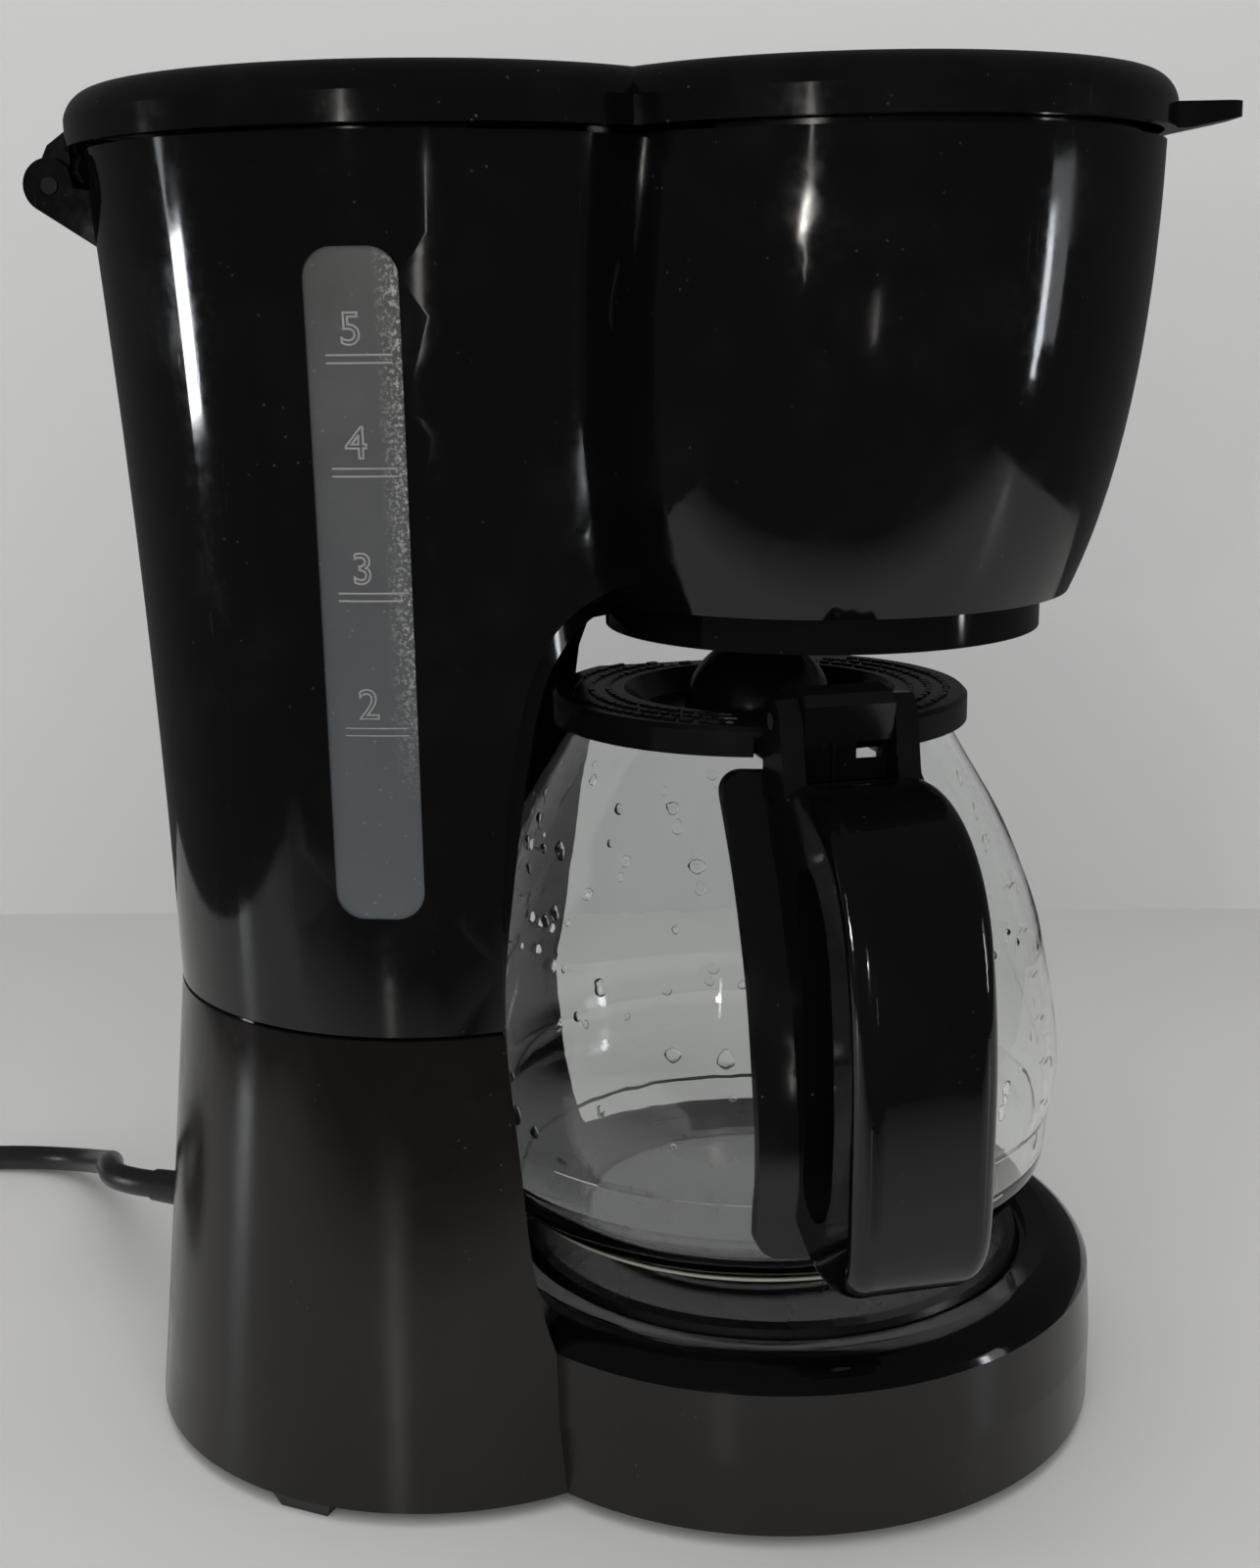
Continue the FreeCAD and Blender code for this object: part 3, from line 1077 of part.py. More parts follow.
def grip_split():
    """Everything outside the joint line between the handle's frame and its outer cover."""
    points = [xz(-56.0, 138.2), xz(-68.0, 134.0), xz(-77.4, 124.8), xz(-83.2, 110.0),
              xz(-85.4, 94.0), xz(-85.2, 79.0), xz(-82.4, 67.0), xz(-76.0, 52.0)]
    curve = curve_through(points)
    rest = polyline([xz(-76.0, 52.0), xz(-120.0, 52.0), xz(-120.0, 160.0), xz(-56.0, 160.0),
                     xz(-56.0, 138.2)])
    face = Part.Face(Part.Wire(Part.__sortEdges__([curve] + rest)))
    region = face.extrude(Vector(0, 60, 0))
    region.translate(Vector(0, -30, 0))
    return region


def carafe_lid_pin():
    half = D["carafe_ear_gap"] / 2 + D["carafe_ear_width"]
    pin = Part.makeCylinder(1.5, 2 * half, Vector(-D["carafe_pin_x"], -half, D["carafe_pin_z"]),
                            Vector(0, 1, 0))
    return shaped("carafe_lid_pin", pin, carafe_placement())


# ---------------------------------------------------------------- power cord
def cord_route():
    """The free stretch of the cord, from the strain relief to the coil's outer turn."""
    start, along = cord_exit()
    half = D["cord_width"] / 2
    join_x = D["coil_x"] + D["coil_outer"] - half
    return [start + along * D["relief_length"] * 0.62, start + along * 24 + Vector(0, 0, -0.3),
            Vector(40.0, 150.5, 28.2), Vector(58.0, 155.0, 21.0), Vector(77.0, 161.5, 12.5),
            Vector(97.0, 174.5, 4.4),
            Vector(102.5, 194.0, half), Vector(100.0, 220.0, half), Vector(join_x, D["coil_y"], half)]


def power_cord():
    route = cord_route()
    tube, path, radii = tube_along(route, D["cord_width"] / 2)
    shaped("cord", tube)
    ideal = math.pi * (D["cord_width"] / 2) ** 2 * path.Length
    print("cord radii", [round(r, 1) for r in radii], "length", round(path.Length, 1),
          "volume ratio", round(tube.Volume / ideal, 4))
    centre = Vector(D["coil_x"], D["coil_y"], 0)
    ring = Part.makeCylinder(D["coil_outer"], D["cord_width"], centre, Z_AXIS).cut(
        Part.makeCylinder(D["coil_inner"], D["cord_width"] * 3, centre - Vector(0, 0, 5), Z_AXIS))
    hump = Part.makeCylinder(38.0, D["cord_width"], centre + Vector(0, 0, D["cord_width"]), Z_AXIS,
                             90).cut(Part.makeCylinder(28.0, 20, centre, Z_AXIS))
    hump.rotate(centre, Z_AXIS, 90)
    entering = tube_along(route, D["cord_width"] / 2 + 0.15)[0]
    shaped("cord_coil", ring.fuse(hump).removeSplitter().cut(entering))
    inner, outer, high = D["coil_inner"] - 0.3, D["coil_outer"] + 0.3, D["cord_width"] + 0.3
    band = slab(Vector(D["coil_x"] + inner - 1.2, D["coil_y"] - 46, 0),
                Vector(D["coil_x"] + outer + 1.2, D["coil_y"] - 40, high + 1.2))
    band.translate(Vector(0, 38, 0))
    tie = band.cut(ring_room(inner, outer, high))
    tie.rotate(centre, Z_AXIS, 62)
    shaped("cord_tie", tie)


def ring_room(inner, outer, high):
    """The coil with a little room round it, so that the tie encloses it without touching."""
    centre = Vector(D["coil_x"], D["coil_y"], -1)
    return Part.makeCylinder(outer, high + 1, centre, Z_AXIS).cut(
        Part.makeCylinder(inner, high + 3, centre - Vector(0, 0, 1), Z_AXIS))


def strain_relief():
    start, along = cord_exit()
    back = start - along * 8
    collar = Part.makeCylinder(5.8, 2.0, start - along * 5.2, along)
    taper = Part.makeCone(4.4, 3.5, D["relief_length"], back, along)
    bore = Part.makeCylinder(D["cord_width"] / 2, 60, start + along * D["relief_length"] * 0.62, along)
    room = tube_along(cord_route(), D["cord_width"] / 2 + 0.05)[0]
    return shaped("strain_relief", taper.fuse(collar).cut(bore).removeSplitter().cut(room))


def plug():
    """A flat two-blade plug lying on the coil."""
    x, y = D["coil_x"] - 33.0, D["coil_y"]
    rest = D["cord_width"]
    tail = Part.makeCone(3.4, 5.0, 14, Vector(x, y, rest + 6.2), Vector(0, -1, 0))
    body = slab(Vector(x - 11, y - 36, rest), Vector(x + 11, y - 13, rest + 12.8))
    edges = [e for e in body.Edges if e.BoundBox.YLength > 20]
    body = body.makeFillet(3.2, edges)
    shaped("plug_body", body.fuse(tail).removeSplitter())
    blades = [slab(Vector(x + s * 6.35 - 0.75, y - 52, rest + 3.2),
                   Vector(x + s * 6.35 + 0.75, y - 36, rest + 9.6)) for s in (-1, 1)]
    shaped("plug_blades", Part.makeCompound(blades))


# ---------------------------------------------------------------- build
upper_housing()
gauge_window()
lid()
lid_hinge_pin()
filter_basket()
drip_valve_stem()
drip_valve_seal()
drip_valve_spring()
drip_valve_cage()
riser_tube()
water_spout()
bottom_cover()
cover_screws()
feet()
warming_plate()
_, heater_stubs = heater()
heater_extras()
hoses(heater_stubs)
base_shell()
check_valve(heater_stubs)
power_switch()
wiring()
carafe_glass()
carafe_lid()
carafe_handle()
carafe_lid_pin()
strain_relief()
power_cord()
plug()

doc.recompute()
for obj in doc.Objects:
    if "Invalid" in obj.State or "Error" in obj.State:
        raise RuntimeError(f"{obj.Name} failed: {obj.State}")
for obj in NODES:
    if obj.Shape.isNull() or not obj.Shape.isValid():
        raise RuntimeError(f"{obj.Label} has no valid shape")

# Every piece is written with the row's origin at the middle of the machine's footprint.
FREE_CORD = ("cord", "cord_coil", "cord_tie", "plug_body", "plug_blades")
whole = Part.makeCompound([obj.Shape for obj in NODES if obj.Label not in FREE_CORD])
box = whole.optimalBoundingBox(False, False)
shift = Vector(-box.Center.x, -box.Center.y, -box.ZMin)
print("box", [round(v, 3) for v in (box.XLength, box.YLength, box.ZLength)],
      "shift", [round(v, 3) for v in shift])
for obj in NODES:
    shape = obj.Shape.copy()
    shape.translate(shift)
    shape.exportStep(f"parts/{obj.Label}.step")
    print(obj.Label, len(shape.Solids), round(shape.Volume))
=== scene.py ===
"""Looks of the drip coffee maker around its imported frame: materials, gauge marks, droplets and cord."""
import json
import math
import random

import bmesh
import bpy
from mathutils import Matrix, Vector


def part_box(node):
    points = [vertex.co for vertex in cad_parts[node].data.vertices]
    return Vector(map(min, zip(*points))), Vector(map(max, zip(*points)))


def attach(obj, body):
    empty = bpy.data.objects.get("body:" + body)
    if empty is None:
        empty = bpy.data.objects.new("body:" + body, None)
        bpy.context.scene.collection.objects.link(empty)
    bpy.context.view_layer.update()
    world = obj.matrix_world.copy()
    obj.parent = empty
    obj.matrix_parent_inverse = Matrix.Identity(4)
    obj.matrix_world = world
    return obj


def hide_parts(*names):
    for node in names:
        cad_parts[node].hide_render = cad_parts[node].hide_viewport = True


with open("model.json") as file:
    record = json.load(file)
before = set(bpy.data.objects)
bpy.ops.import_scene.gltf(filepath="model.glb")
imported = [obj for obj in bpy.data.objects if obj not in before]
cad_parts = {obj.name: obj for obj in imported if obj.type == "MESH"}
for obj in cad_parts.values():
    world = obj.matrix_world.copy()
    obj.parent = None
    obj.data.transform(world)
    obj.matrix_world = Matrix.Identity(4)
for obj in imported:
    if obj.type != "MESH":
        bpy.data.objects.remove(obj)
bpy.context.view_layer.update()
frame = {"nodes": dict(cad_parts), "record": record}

MM = 0.001
plate_low, plate_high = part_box("warming_plate")
AXIS = Vector(((plate_low.x + plate_high.x) / 2, (plate_low.y + plate_high.y) / 2, 0))
TANK_Y = 68.0          # tank axis behind the plate axis, mm
CARAFE_Y = 2.6
CARAFE_TURN = math.radians(15.5)


def at(x, y, z):
    """A place in the machine's own millimetres, measured from the warming plate's axis."""
    return AXIS + Vector((x, y, z)) * MM


# ------------------------------------------------------------------ camera
CAMERA_PLACE = (-391.3, 19.5, 221.1)
CAMERA_YAW = 0.022     # radians
CAMERA_PITCH = 0.2344
CAMERA_ROLL = 0.0109
SENSOR_WIDTH = 36
FOCAL_LENGTH = 46.43


def add_camera():
    cam = bpy.data.objects.new("camera", bpy.data.cameras.new("camera"))
    bpy.context.scene.collection.objects.link(cam)
    cam.data.sensor_width = SENSOR_WIDTH
    cam.data.lens = FOCAL_LENGTH
    cam.data.clip_start = 0.01
    ahead = Vector((math.cos(CAMERA_PITCH) * math.cos(CAMERA_YAW),
                    math.cos(CAMERA_PITCH) * math.sin(CAMERA_YAW), -math.sin(CAMERA_PITCH)))
    side = ahead.cross(Vector((0, 0, 1))).normalized()
    down = ahead.cross(side).normalized()
    right = side * math.cos(CAMERA_ROLL) + down * math.sin(CAMERA_ROLL)
    up = side * math.sin(CAMERA_ROLL) - down * math.cos(CAMERA_ROLL)
    turn = Matrix((right, up, -ahead)).transposed().to_4x4()
    cam.matrix_world = Matrix.Translation(at(*CAMERA_PLACE)) @ turn
    bpy.context.scene.camera = cam


# ------------------------------------------------------------------ node helpers
class Nodes:
    """A short way to write a material's node tree."""

    def __init__(self, name):
        self.material = bpy.data.materials.new(name)
        self.material.use_nodes = True
        self.tree = self.material.node_tree
        self.shader = self.tree.nodes["Principled BSDF"]
        self.place = self.add("ShaderNodeTexCoord").outputs["Object"]

    def add(self, kind, **values):
        made = self.tree.nodes.new(kind)
        for key, value in values.items():
            setattr(made, key, value)
        return made

    def link(self, source, target):
        self.tree.links.new(source, target)
        return target

    def scaled(self, sx, sy, sz):
        mapping = self.add("ShaderNodeMapping")
        mapping.inputs["Scale"].default_value = (sx, sy, sz)
        self.link(self.place, mapping.inputs["Vector"])
        return mapping.outputs["Vector"]

    def noise(self, scale, detail=4.0, rough=0.55, vector=None):
        made = self.add("ShaderNodeTexNoise")
        made.inputs["Scale"].default_value = scale
        made.inputs["Detail"].default_value = detail
        made.inputs["Roughness"].default_value = rough
        self.link(vector or self.place, made.inputs["Vector"])
        return made.outputs["Fac"]

    def specks(self, scale, size, vector=None):
        """1 on small scattered spots, 0 elsewhere."""
        made = self.add("ShaderNodeTexVoronoi")
        made.inputs["Scale"].default_value = scale
        self.link(vector or self.place, made.inputs["Vector"])
        return self.remap(made.outputs["Distance"], 0.0, size, 1.0, 0.0)

    def remap(self, value, low, high, to_low, to_high):
        made = self.add("ShaderNodeMapRange")
        for name, number in (("From Min", low), ("From Max", high),
                             ("To Min", to_low), ("To Max", to_high)):
            made.inputs[name].default_value = number
        self.link(value, made.inputs["Value"])
        return made.outputs["Result"]

    def math(self, operation, a, b):
        made = self.add("ShaderNodeMath", operation=operation)
        for slot_index, value in enumerate((a, b)):
            if isinstance(value, (int, float)):
                made.inputs[slot_index].default_value = value
            else:
                self.link(value, made.inputs[slot_index])
        return made.outputs["Value"]

    def mix(self, factor, dark, light):
        made = self.add("ShaderNodeMix", data_type="RGBA")
        for name, value in (("A", dark), ("B", light)):
            socket = next(s for s in made.inputs if s.name == name and s.type == "RGBA")
            if isinstance(value, tuple):
                socket.default_value = (*value, 1.0)
            else:
                self.link(value, socket)
        self.link(factor, made.inputs["Factor"])
        return next(s for s in made.outputs if s.type == "RGBA")

    def bump(self, height, distance, strength=1.0):
        made = self.add("ShaderNodeBump")
        made.inputs["Distance"].default_value = distance
        made.inputs["Strength"].default_value = strength
        self.link(height, made.inputs["Height"])
        self.link(made.outputs["Normal"], self.shader.inputs["Normal"])

    def set(self, **values):
        for name, value in values.items():
            socket = self.shader.inputs[name.replace("_", " ")]
            if isinstance(value, bpy.types.NodeSocket):
                self.link(value, socket)
            elif isinstance(value, tuple):
                socket.default_value = (*value, 1.0)
            else:
                socket.default_value = value
        return self


def gloss_black(name, tint=(0.0016, 0.0016, 0.0018), polish=0.07, wear=1.0, dust=0.25, crest=None):
    """Polished black moulding with smudges, hairline scratches, dust and a faint ripple.

    crest is a second polish for the faces that look upwards; those faces are also painted a darker black, as
    painted shade for their darker reflection.
    """
    n = Nodes(name)
    smudge = n.remap(n.noise(38, 6, 0.62), 0.50, 0.78, 0.0, 1.0)
    streak = n.noise(1.0, 3, 0.6, n.scaled(900, 900, 40))
    scratch = n.remap(streak, 0.66, 0.74, 0.0, 1.0)
    fine = n.remap(n.noise(420, 3, 0.6), 0.3, 0.8, -0.02, 0.03)
    rough = n.math("ADD", n.math("ADD", n.math("MULTIPLY", smudge, 0.16 * wear), polish), fine)
    rough = n.math("ADD", rough, n.math("MULTIPLY", scratch, 0.10 * wear))
    speck = n.math("MULTIPLY", n.specks(330, 0.10), n.remap(n.noise(60, 2), 0.45, 0.7, 0.0, 1.0))
    grey = n.mix(n.math("MULTIPLY", speck, dust), tint, (0.16, 0.16, 0.155))
    film = n.mix(n.math("MULTIPLY", smudge, 0.018 * wear), grey, (0.10, 0.10, 0.105))
    if crest is not None:
        facing = n.add("ShaderNodeSeparateXYZ")
        n.link(n.add("ShaderNodeNewGeometry").outputs["Normal"], facing.inputs["Vector"])
        up = n.remap(facing.outputs["Z"], 0.22, 0.40, 0.0, 1.0)
        rough = n.math("SUBTRACT", rough, n.math("MULTIPLY", up, polish - crest))
        # painted shade: faces that look upwards get a darker black than the sides
        film = n.mix(up, film, (0.0012, 0.0012, 0.0013))
    ripple = n.math("ADD", n.noise(16, 1, 0.4), n.math("MULTIPLY", scratch, 0.006))
    n.bump(ripple, 0.00035, 0.6)
    return n.set(Base_Color=film, Roughness=rough, IOR=1.46).material


def matte_black(name, tint=(0.010, 0.010, 0.011), rough=0.45, grain=900):
    n = Nodes(name)
    speckle = n.noise(grain, 3)
    shade = n.mix(n.noise(45, 4), tint, tuple(c * 2.1 for c in tint))
    n.bump(speckle, 0.00006, 0.7)
    return n.set(Base_Color=shade, Roughness=n.remap(speckle, 0.2, 0.8, rough - 0.07, rough + 0.1)).material


def plain_metal(name, tint, rough=0.3, grain=(1200, 60, 60)):
    n = Nodes(name)
    brushed = n.noise(1.0, 3, 0.5, n.scaled(*grain))
    shade = n.mix(brushed, tuple(c * 0.8 for c in tint), tint)
    n.bump(brushed, 0.00003, 0.5)
    return n.set(Base_Color=shade, Metallic=1.0,
                 Roughness=n.remap(brushed, 0.2, 0.8, rough - 0.06, rough + 0.1)).material


def soft_rubber(name, tint, rough=0.55):
    n = Nodes(name)
    mottled = n.noise(120, 4)
    shade = n.mix(mottled, tuple(c * 0.85 for c in tint), tint)
    n.bump(n.noise(700, 2), 0.00005, 0.6)
    return n.set(Base_Color=shade, Roughness=n.remap(mottled, 0.2, 0.8, rough - 0.08, rough + 0.08)).material


def gauge_plastic():
    """Milky window: grey through its middle, speckled with scale where it meets the housing."""
    n = Nodes("gauge_plastic")
    split = n.add("ShaderNodeSeparateXYZ")
    n.link(n.place, split.inputs["Vector"])
    window_low, window_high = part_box("gauge_window")
    climb = n.remap(split.outputs["Z"], window_low.z, window_high.z, 1.0, 0.0)
    tone = n.mix(climb, (0.046, 0.043, 0.041), (0.058, 0.063, 0.071))
    cloud = n.remap(n.noise(60, 5, 0.6), 0.3, 0.75, 0.0, 0.5)
    tone = n.mix(cloud, tone, (0.075, 0.075, 0.076))
    front = n.remap(split.outputs["Y"], window_low.y + 0.0045, window_low.y, 0.0, 1.0)
    upper = n.remap(split.outputs["Z"], window_low.z + 0.02, window_low.z + 0.05, 0.0, 1.0)
    crust = n.remap(n.noise(1500, 4, 0.7), 0.50, 0.62, 0.0, 1.0)
    crust = n.math("MULTIPLY", n.math("MULTIPLY", crust, front), upper)
    tone = n.mix(n.math("MULTIPLY", crust, 0.8), tone, (0.42, 0.41, 0.38))
    dots = n.specks(420, 0.13)
    tone = n.mix(n.math("MULTIPLY", dots, 0.35), tone, (0.3, 0.3, 0.3))
    n.bump(n.noise(300, 3), 0.00008, 0.5)
    return n.set(Base_Color=tone, Roughness=0.42, Subsurface_Weight=0.15).material


def clear_glass():
    n = Nodes("carafe_glass")
    film = n.remap(n.noise(30, 5, 0.6), 0.55, 0.8, 0.0, 0.05)
    n.bump(n.noise(22, 1, 0.4), 0.00025, 0.35)
    return n.set(Base_Color=(0.97, 0.985, 0.98), Roughness=film, IOR=1.47,
                 Transmission_Weight=1.0).material


def plate_finish():
    n = Nodes("plate_coating")
    grain = n.noise(1600, 3)
    stain = n.remap(n.noise(50, 5, 0.6), 0.4, 0.7, 0.0, 1.0)
    tone = n.mix(stain, (0.0025, 0.0025, 0.0028), (0.006, 0.006, 0.0055))
    n.bump(grain, 0.00005, 0.6)
    return n.set(Base_Color=tone, Roughness=n.remap(stain, 0.0, 1.0, 0.24, 0.31)).material


MATERIALS = {
    "black_body": gloss_black("black_body"),
    "gauge_plastic": gauge_plastic(),
    "brew_plastic": matte_black("brew_plastic"),
    "steel": plain_metal("steel", (0.55, 0.55, 0.54)),
    "plate_coating": plate_finish(),
    "silicone": soft_rubber("silicone", (0.62, 0.61, 0.58)),
    "rubber_feet": soft_rubber("rubber_feet", (0.012, 0.012, 0.012)),
    "heater_metal": plain_metal("heater_metal", (0.7, 0.7, 0.71), 0.42, (300, 300, 300)),
    "switch_plastic": gloss_black("switch_plastic", polish=0.16),
    "wire_cover": soft_rubber("wire_cover", (0.7, 0.7, 0.67), 0.5),
    "glass": clear_glass(),
    "cord_cover": matte_black("cord_cover", (0.006, 0.006, 0.006), 0.34, 1500),
    "blade_brass": plain_metal("blade_brass", (0.72, 0.66, 0.52), 0.25),
}
SPECIAL = {
    "lid": gloss_black("lid_black", polish=0.10, wear=1.3, dust=0.45),
    # painted sheen: the base's brownish tint stands in for a soft glow on its sides, and its upward faces
    # are painted a darker black as painted shade
    "base_shell": gloss_black("base_black", (0.0044, 0.0032, 0.0025), 0.16, 0.8, 0.3, 0.06),
    "carafe_lid": gloss_black("carafe_lid_black", (0.003, 0.003, 0.003), 0.18, 0.7, 0.3),
    "handle_frame": gloss_black("frame_black", (0.002, 0.002, 0.002), 0.10, 1.0, 0.6),
    "handle_cover": gloss_black("cover_black", (0.0015, 0.0015, 0.0018), 0.05, 0.5, 0.15),
    "lid_hinge_pin": plain_metal("hinge_pin_metal", (0.045, 0.042, 0.040), 0.45),
}


def paint_cad():
    for entry in frame["record"]["subparts"]:
        name = entry["node"]
        data = frame["nodes"][name].data
        data.materials.clear()
        data.materials.append(SPECIAL.get(name, MATERIALS[entry["material_slot"]]))


# ------------------------------------------------------------------ mesh helpers
def mesh_piece(name, build, material, body):
    """Make a mesh with bmesh code and let it ride on a body."""
    mesh = bpy.data.meshes.new(name)
    bm = bmesh.new()
    build(bm)
    bm.to_mesh(mesh)
    bm.free()
    piece = bpy.data.objects.new(name, mesh)
    bpy.context.scene.collection.objects.link(piece)
    mesh.materials.append(material)
    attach(piece, body)
    return piece


def smooth(piece):
    for face in piece.data.polygons:
        face.use_smooth = True


def join_rings(bm, low, high):
    """Faces between two closed rings of the same number of vertices."""
    for i in range(len(low)):
        j = (i + 1) % len(low)
        bm.faces.new((low[i], low[j], high[j], high[i]))


def add_block(bm, corners):
    """A closed block from four corners of its first side and the four opposite them."""
    made = [bm.verts.new(c) for c in corners]
    first, second = made[:4], made[4:]
    bm.faces.new(first[::-1])
    bm.faces.new(second)
    join_rings(bm, first, second)


def carafe_place(radius, angle, z):
    """A place round the carafe's axis; angle 0 points at the handle."""
    t = math.pi + CARAFE_TURN + angle
    return at(radius * math.cos(t), CARAFE_Y + radius * math.sin(t), z)


def add_dash(bm, radius, angle, length, width, z, height):
    """A small raised bar lying along a circle round the carafe's axis."""
    half = length / 2 / radius
    corners = []
    for r in (radius - width / 2, radius + width / 2):
        for a in (angle - half, angle + half):
            corners.append((r, a))
    order = [corners[0], corners[1], corners[3], corners[2]]
    low = [bm.verts.new(carafe_place(r, a, z - 0.2)) for r, a in order]
    top = [bm.verts.new(carafe_place(r + (0.12 if r < radius else -0.12), a, z + height))
           for r, a in order]
    bm.faces.new(top)
    for i in range(4):
        bm.faces.new((low[i], low[(i + 1) % 4], top[(i + 1) % 4], top[i]))


# ------------------------------------------------------------------ gauge marks
WINDOW_SINK = 0.5      # how far the window's face lies below the tank's skin, mm
DIGIT_HEIGHT = 5.2
CAPITAL_SHARE = 0.70   # height of a digit as a share of the font's size
LEVELS = (("5", 213.0), ("4", 194.5), ("3", 173.5), ("2", 150.0))


def tank_skin(y, z, outside):
    """The x of the tank's -X side, outside mm proud of the window's face.

    The tank's side is two gentle curves that meet at its waist; each is a share of a straight run
    and the rest of a parabola.
    """
    foot, waist, top = (50.3, 92.7), (53.1, 170.0), (59.0, 252.0)   # radius, height
    start, end, straight = (waist, top, 0.72) if z > waist[1] else (foot, waist, 0.25)
    t = (z - start[1]) / (end[1] - start[1])
    radius = start[0] + (end[0] - start[0]) * (straight * t + (1 - straight) * t * t)
    radius += outside - WINDOW_SINK
    return -math.sqrt(max(radius ** 2 - (y - TANK_Y) ** 2, 1.0))


def gauge_mark(name, make_curve, y, z):
    """Turn a flat curve into a mesh lying on the window: curve x runs to -Y and curve y up."""
    curve = make_curve()
    holder = bpy.data.objects.new(name + "_flat", curve)
    bpy.context.scene.collection.objects.link(holder)
    bpy.context.view_layer.update()
    mesh = bpy.data.meshes.new_from_object(holder.evaluated_get(
        bpy.context.evaluated_depsgraph_get()))
    bpy.data.objects.remove(holder)
    span = max(v.co.x for v in mesh.vertices) - min(v.co.x for v in mesh.vertices)
    left = min(v.co.x for v in mesh.vertices)
    for v in mesh.vertices:
        across = v.co.x - left - span / 2
        py, pz = y - across, z + v.co.y
        v.co = at(tank_skin(py, pz, v.co.z), py, pz)
    piece = bpy.data.objects.new(name, mesh)
    bpy.context.scene.collection.objects.link(piece)
    mesh.materials.clear()
    mesh.materials.append(MARK)
    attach(piece, "machine")
    return piece


def digit_curve(text):
    def make():
        curve = bpy.data.curves.new("digit_" + text, "FONT")
        curve.body = text
        curve.size = DIGIT_HEIGHT / CAPITAL_SHARE
        curve.fill_mode = "NONE"
        curve.bevel_depth = 0.22
        curve.bevel_resolution = 2
        curve.resolution_u = 6
        return curve
    return make


def line_curve(length, drop):
    """A level line and a second one drop mm below it."""
    steps = 12

    def make():
        curve = bpy.data.curves.new("level", "CURVE")
        curve.dimensions = "3D"
        curve.bevel_depth = 0.2
        curve.bevel_resolution = 2
        for y in (0.0, -drop):
            spline = curve.splines.new("POLY")
            spline.points.add(steps)
            for i, point in enumerate(spline.points):
                point.co = (length * i / steps, y, 0, 1)
        return curve
    return make


def gauge_marks():
    for digit, z in LEVELS:
        gauge_mark(f"gauge_digit_{digit}", digit_curve(digit), 71.6, z + 1.7)
        gauge_mark(f"gauge_level_{digit}", line_curve(length=11.0, drop=1.3), 70.4, z)


def mark_plastic():
    n = Nodes("gauge_mark")
    n.bump(n.noise(500, 2), 0.00004, 0.5)
    tone = n.mix(n.noise(160, 4), (0.15, 0.15, 0.15), (0.24, 0.24, 0.24))
    return n.set(Base_Color=tone, Roughness=0.42).material


MARK = mark_plastic()


# ------------------------------------------------------------------ carafe details
LID_RIM_Z = 147.4
LID_RINGS = ((29.6, 3.1), (33.0, 3.4), (36.4, 3.3))    # radius, longest bar with its gap, mm
LID_NOTCH = 28.0       # the rim is cut off beyond this distance on its far side, mm
LID_NOTCH_TURN = 0.13
STRAP_GAP = 0.42       # angle on each side of the handle that has no bars


def lid_rings():
    """Three rings of short raised bars on the carafe lid's rim."""
    rng = random.Random(7)

    def build(bm):
        for radius, step in LID_RINGS:
            angle = STRAP_GAP
            while angle < 2 * math.pi - STRAP_GAP:
                length = rng.uniform(1.2, step - 0.7)
                place = (carafe_place(radius, angle, LID_RIM_Z) - AXIS) / MM
                far_side = (place.x * math.cos(LID_NOTCH_TURN)
                            + (place.y - CARAFE_Y) * math.sin(LID_NOTCH_TURN))
                if far_side < LID_NOTCH:
                    add_dash(bm, radius, angle, length, rng.uniform(1.0, 1.5), LID_RIM_Z, 0.35)
                angle += (length + rng.uniform(0.5, 1.0)) / radius
    return mesh_piece("lid_ring_marks", build, SPECIAL["carafe_lid"], "carafe")


def strap_place(out, side, z):
    """A place by the carafe's handle: out from the carafe's axis, side towards the front."""
    t = math.pi + CARAFE_TURN
    return at(out * math.cos(t) - side * math.sin(t),
              CARAFE_Y + out * math.sin(t) + side * math.cos(t), z)


WEB_BACK, WEB_FRONT, RIB_FRONT = 45.6, 47.4, 48.3      # distances from the carafe's axis, mm
WEB_BLOCKS = (  # side from, side to, height from, height to, front
    (-8.3, 2.6, 139.0, 146.6, WEB_FRONT), (2.6, 8.3, 139.0, 142.4, WEB_FRONT),
    (7.2, 8.3, 142.4, 146.6, WEB_FRONT), (-2.2, -1.4, 139.0, 147.0, RIB_FRONT),
)


def strap_web():
    """The thin web between the handle's straps, with the small window at its front end and a rib."""
    def build(bm):
        for side_low, side_high, low, high, front in WEB_BLOCKS:
            add_block(bm, [strap_place(out, side, z) for z in (low, high)
                           for out, side in ((WEB_BACK, side_low), (front, side_low),
                                             (front, side_high), (WEB_BACK, side_high))])
        bmesh.ops.recalc_face_normals(bm, faces=bm.faces)
    return mesh_piece("strap_web", build, SPECIAL["handle_frame"], "carafe")


GLASS_OUTLINE = (  # radius, height: the outside of the glass, mm
    (58.7, 57.0), (58.7, 64.1), (59.9, 69.3), (60.1, 75.3), (59.2, 83.7), (57.6, 92.3),
    (55.3, 102.7), (51.9, 112.3), (47.5, 122.3), (42.9, 130.3), (38.3, 138.1),
)


def glass_radius(z):
    for (r0, z0), (r1, z1) in zip(GLASS_OUTLINE, GLASS_OUTLINE[1:]):
        if z0 <= z <= z1:
            return r0 + (r1 - r0) * (z - z0) / (z1 - z0)
    return GLASS_OUTLINE[0][0]


BEADS = 120
BEAD_DEPTH = 1.95      # the beads' middles lie this far inside the glass's outer face, mm
BEAD_THICK = 0.11


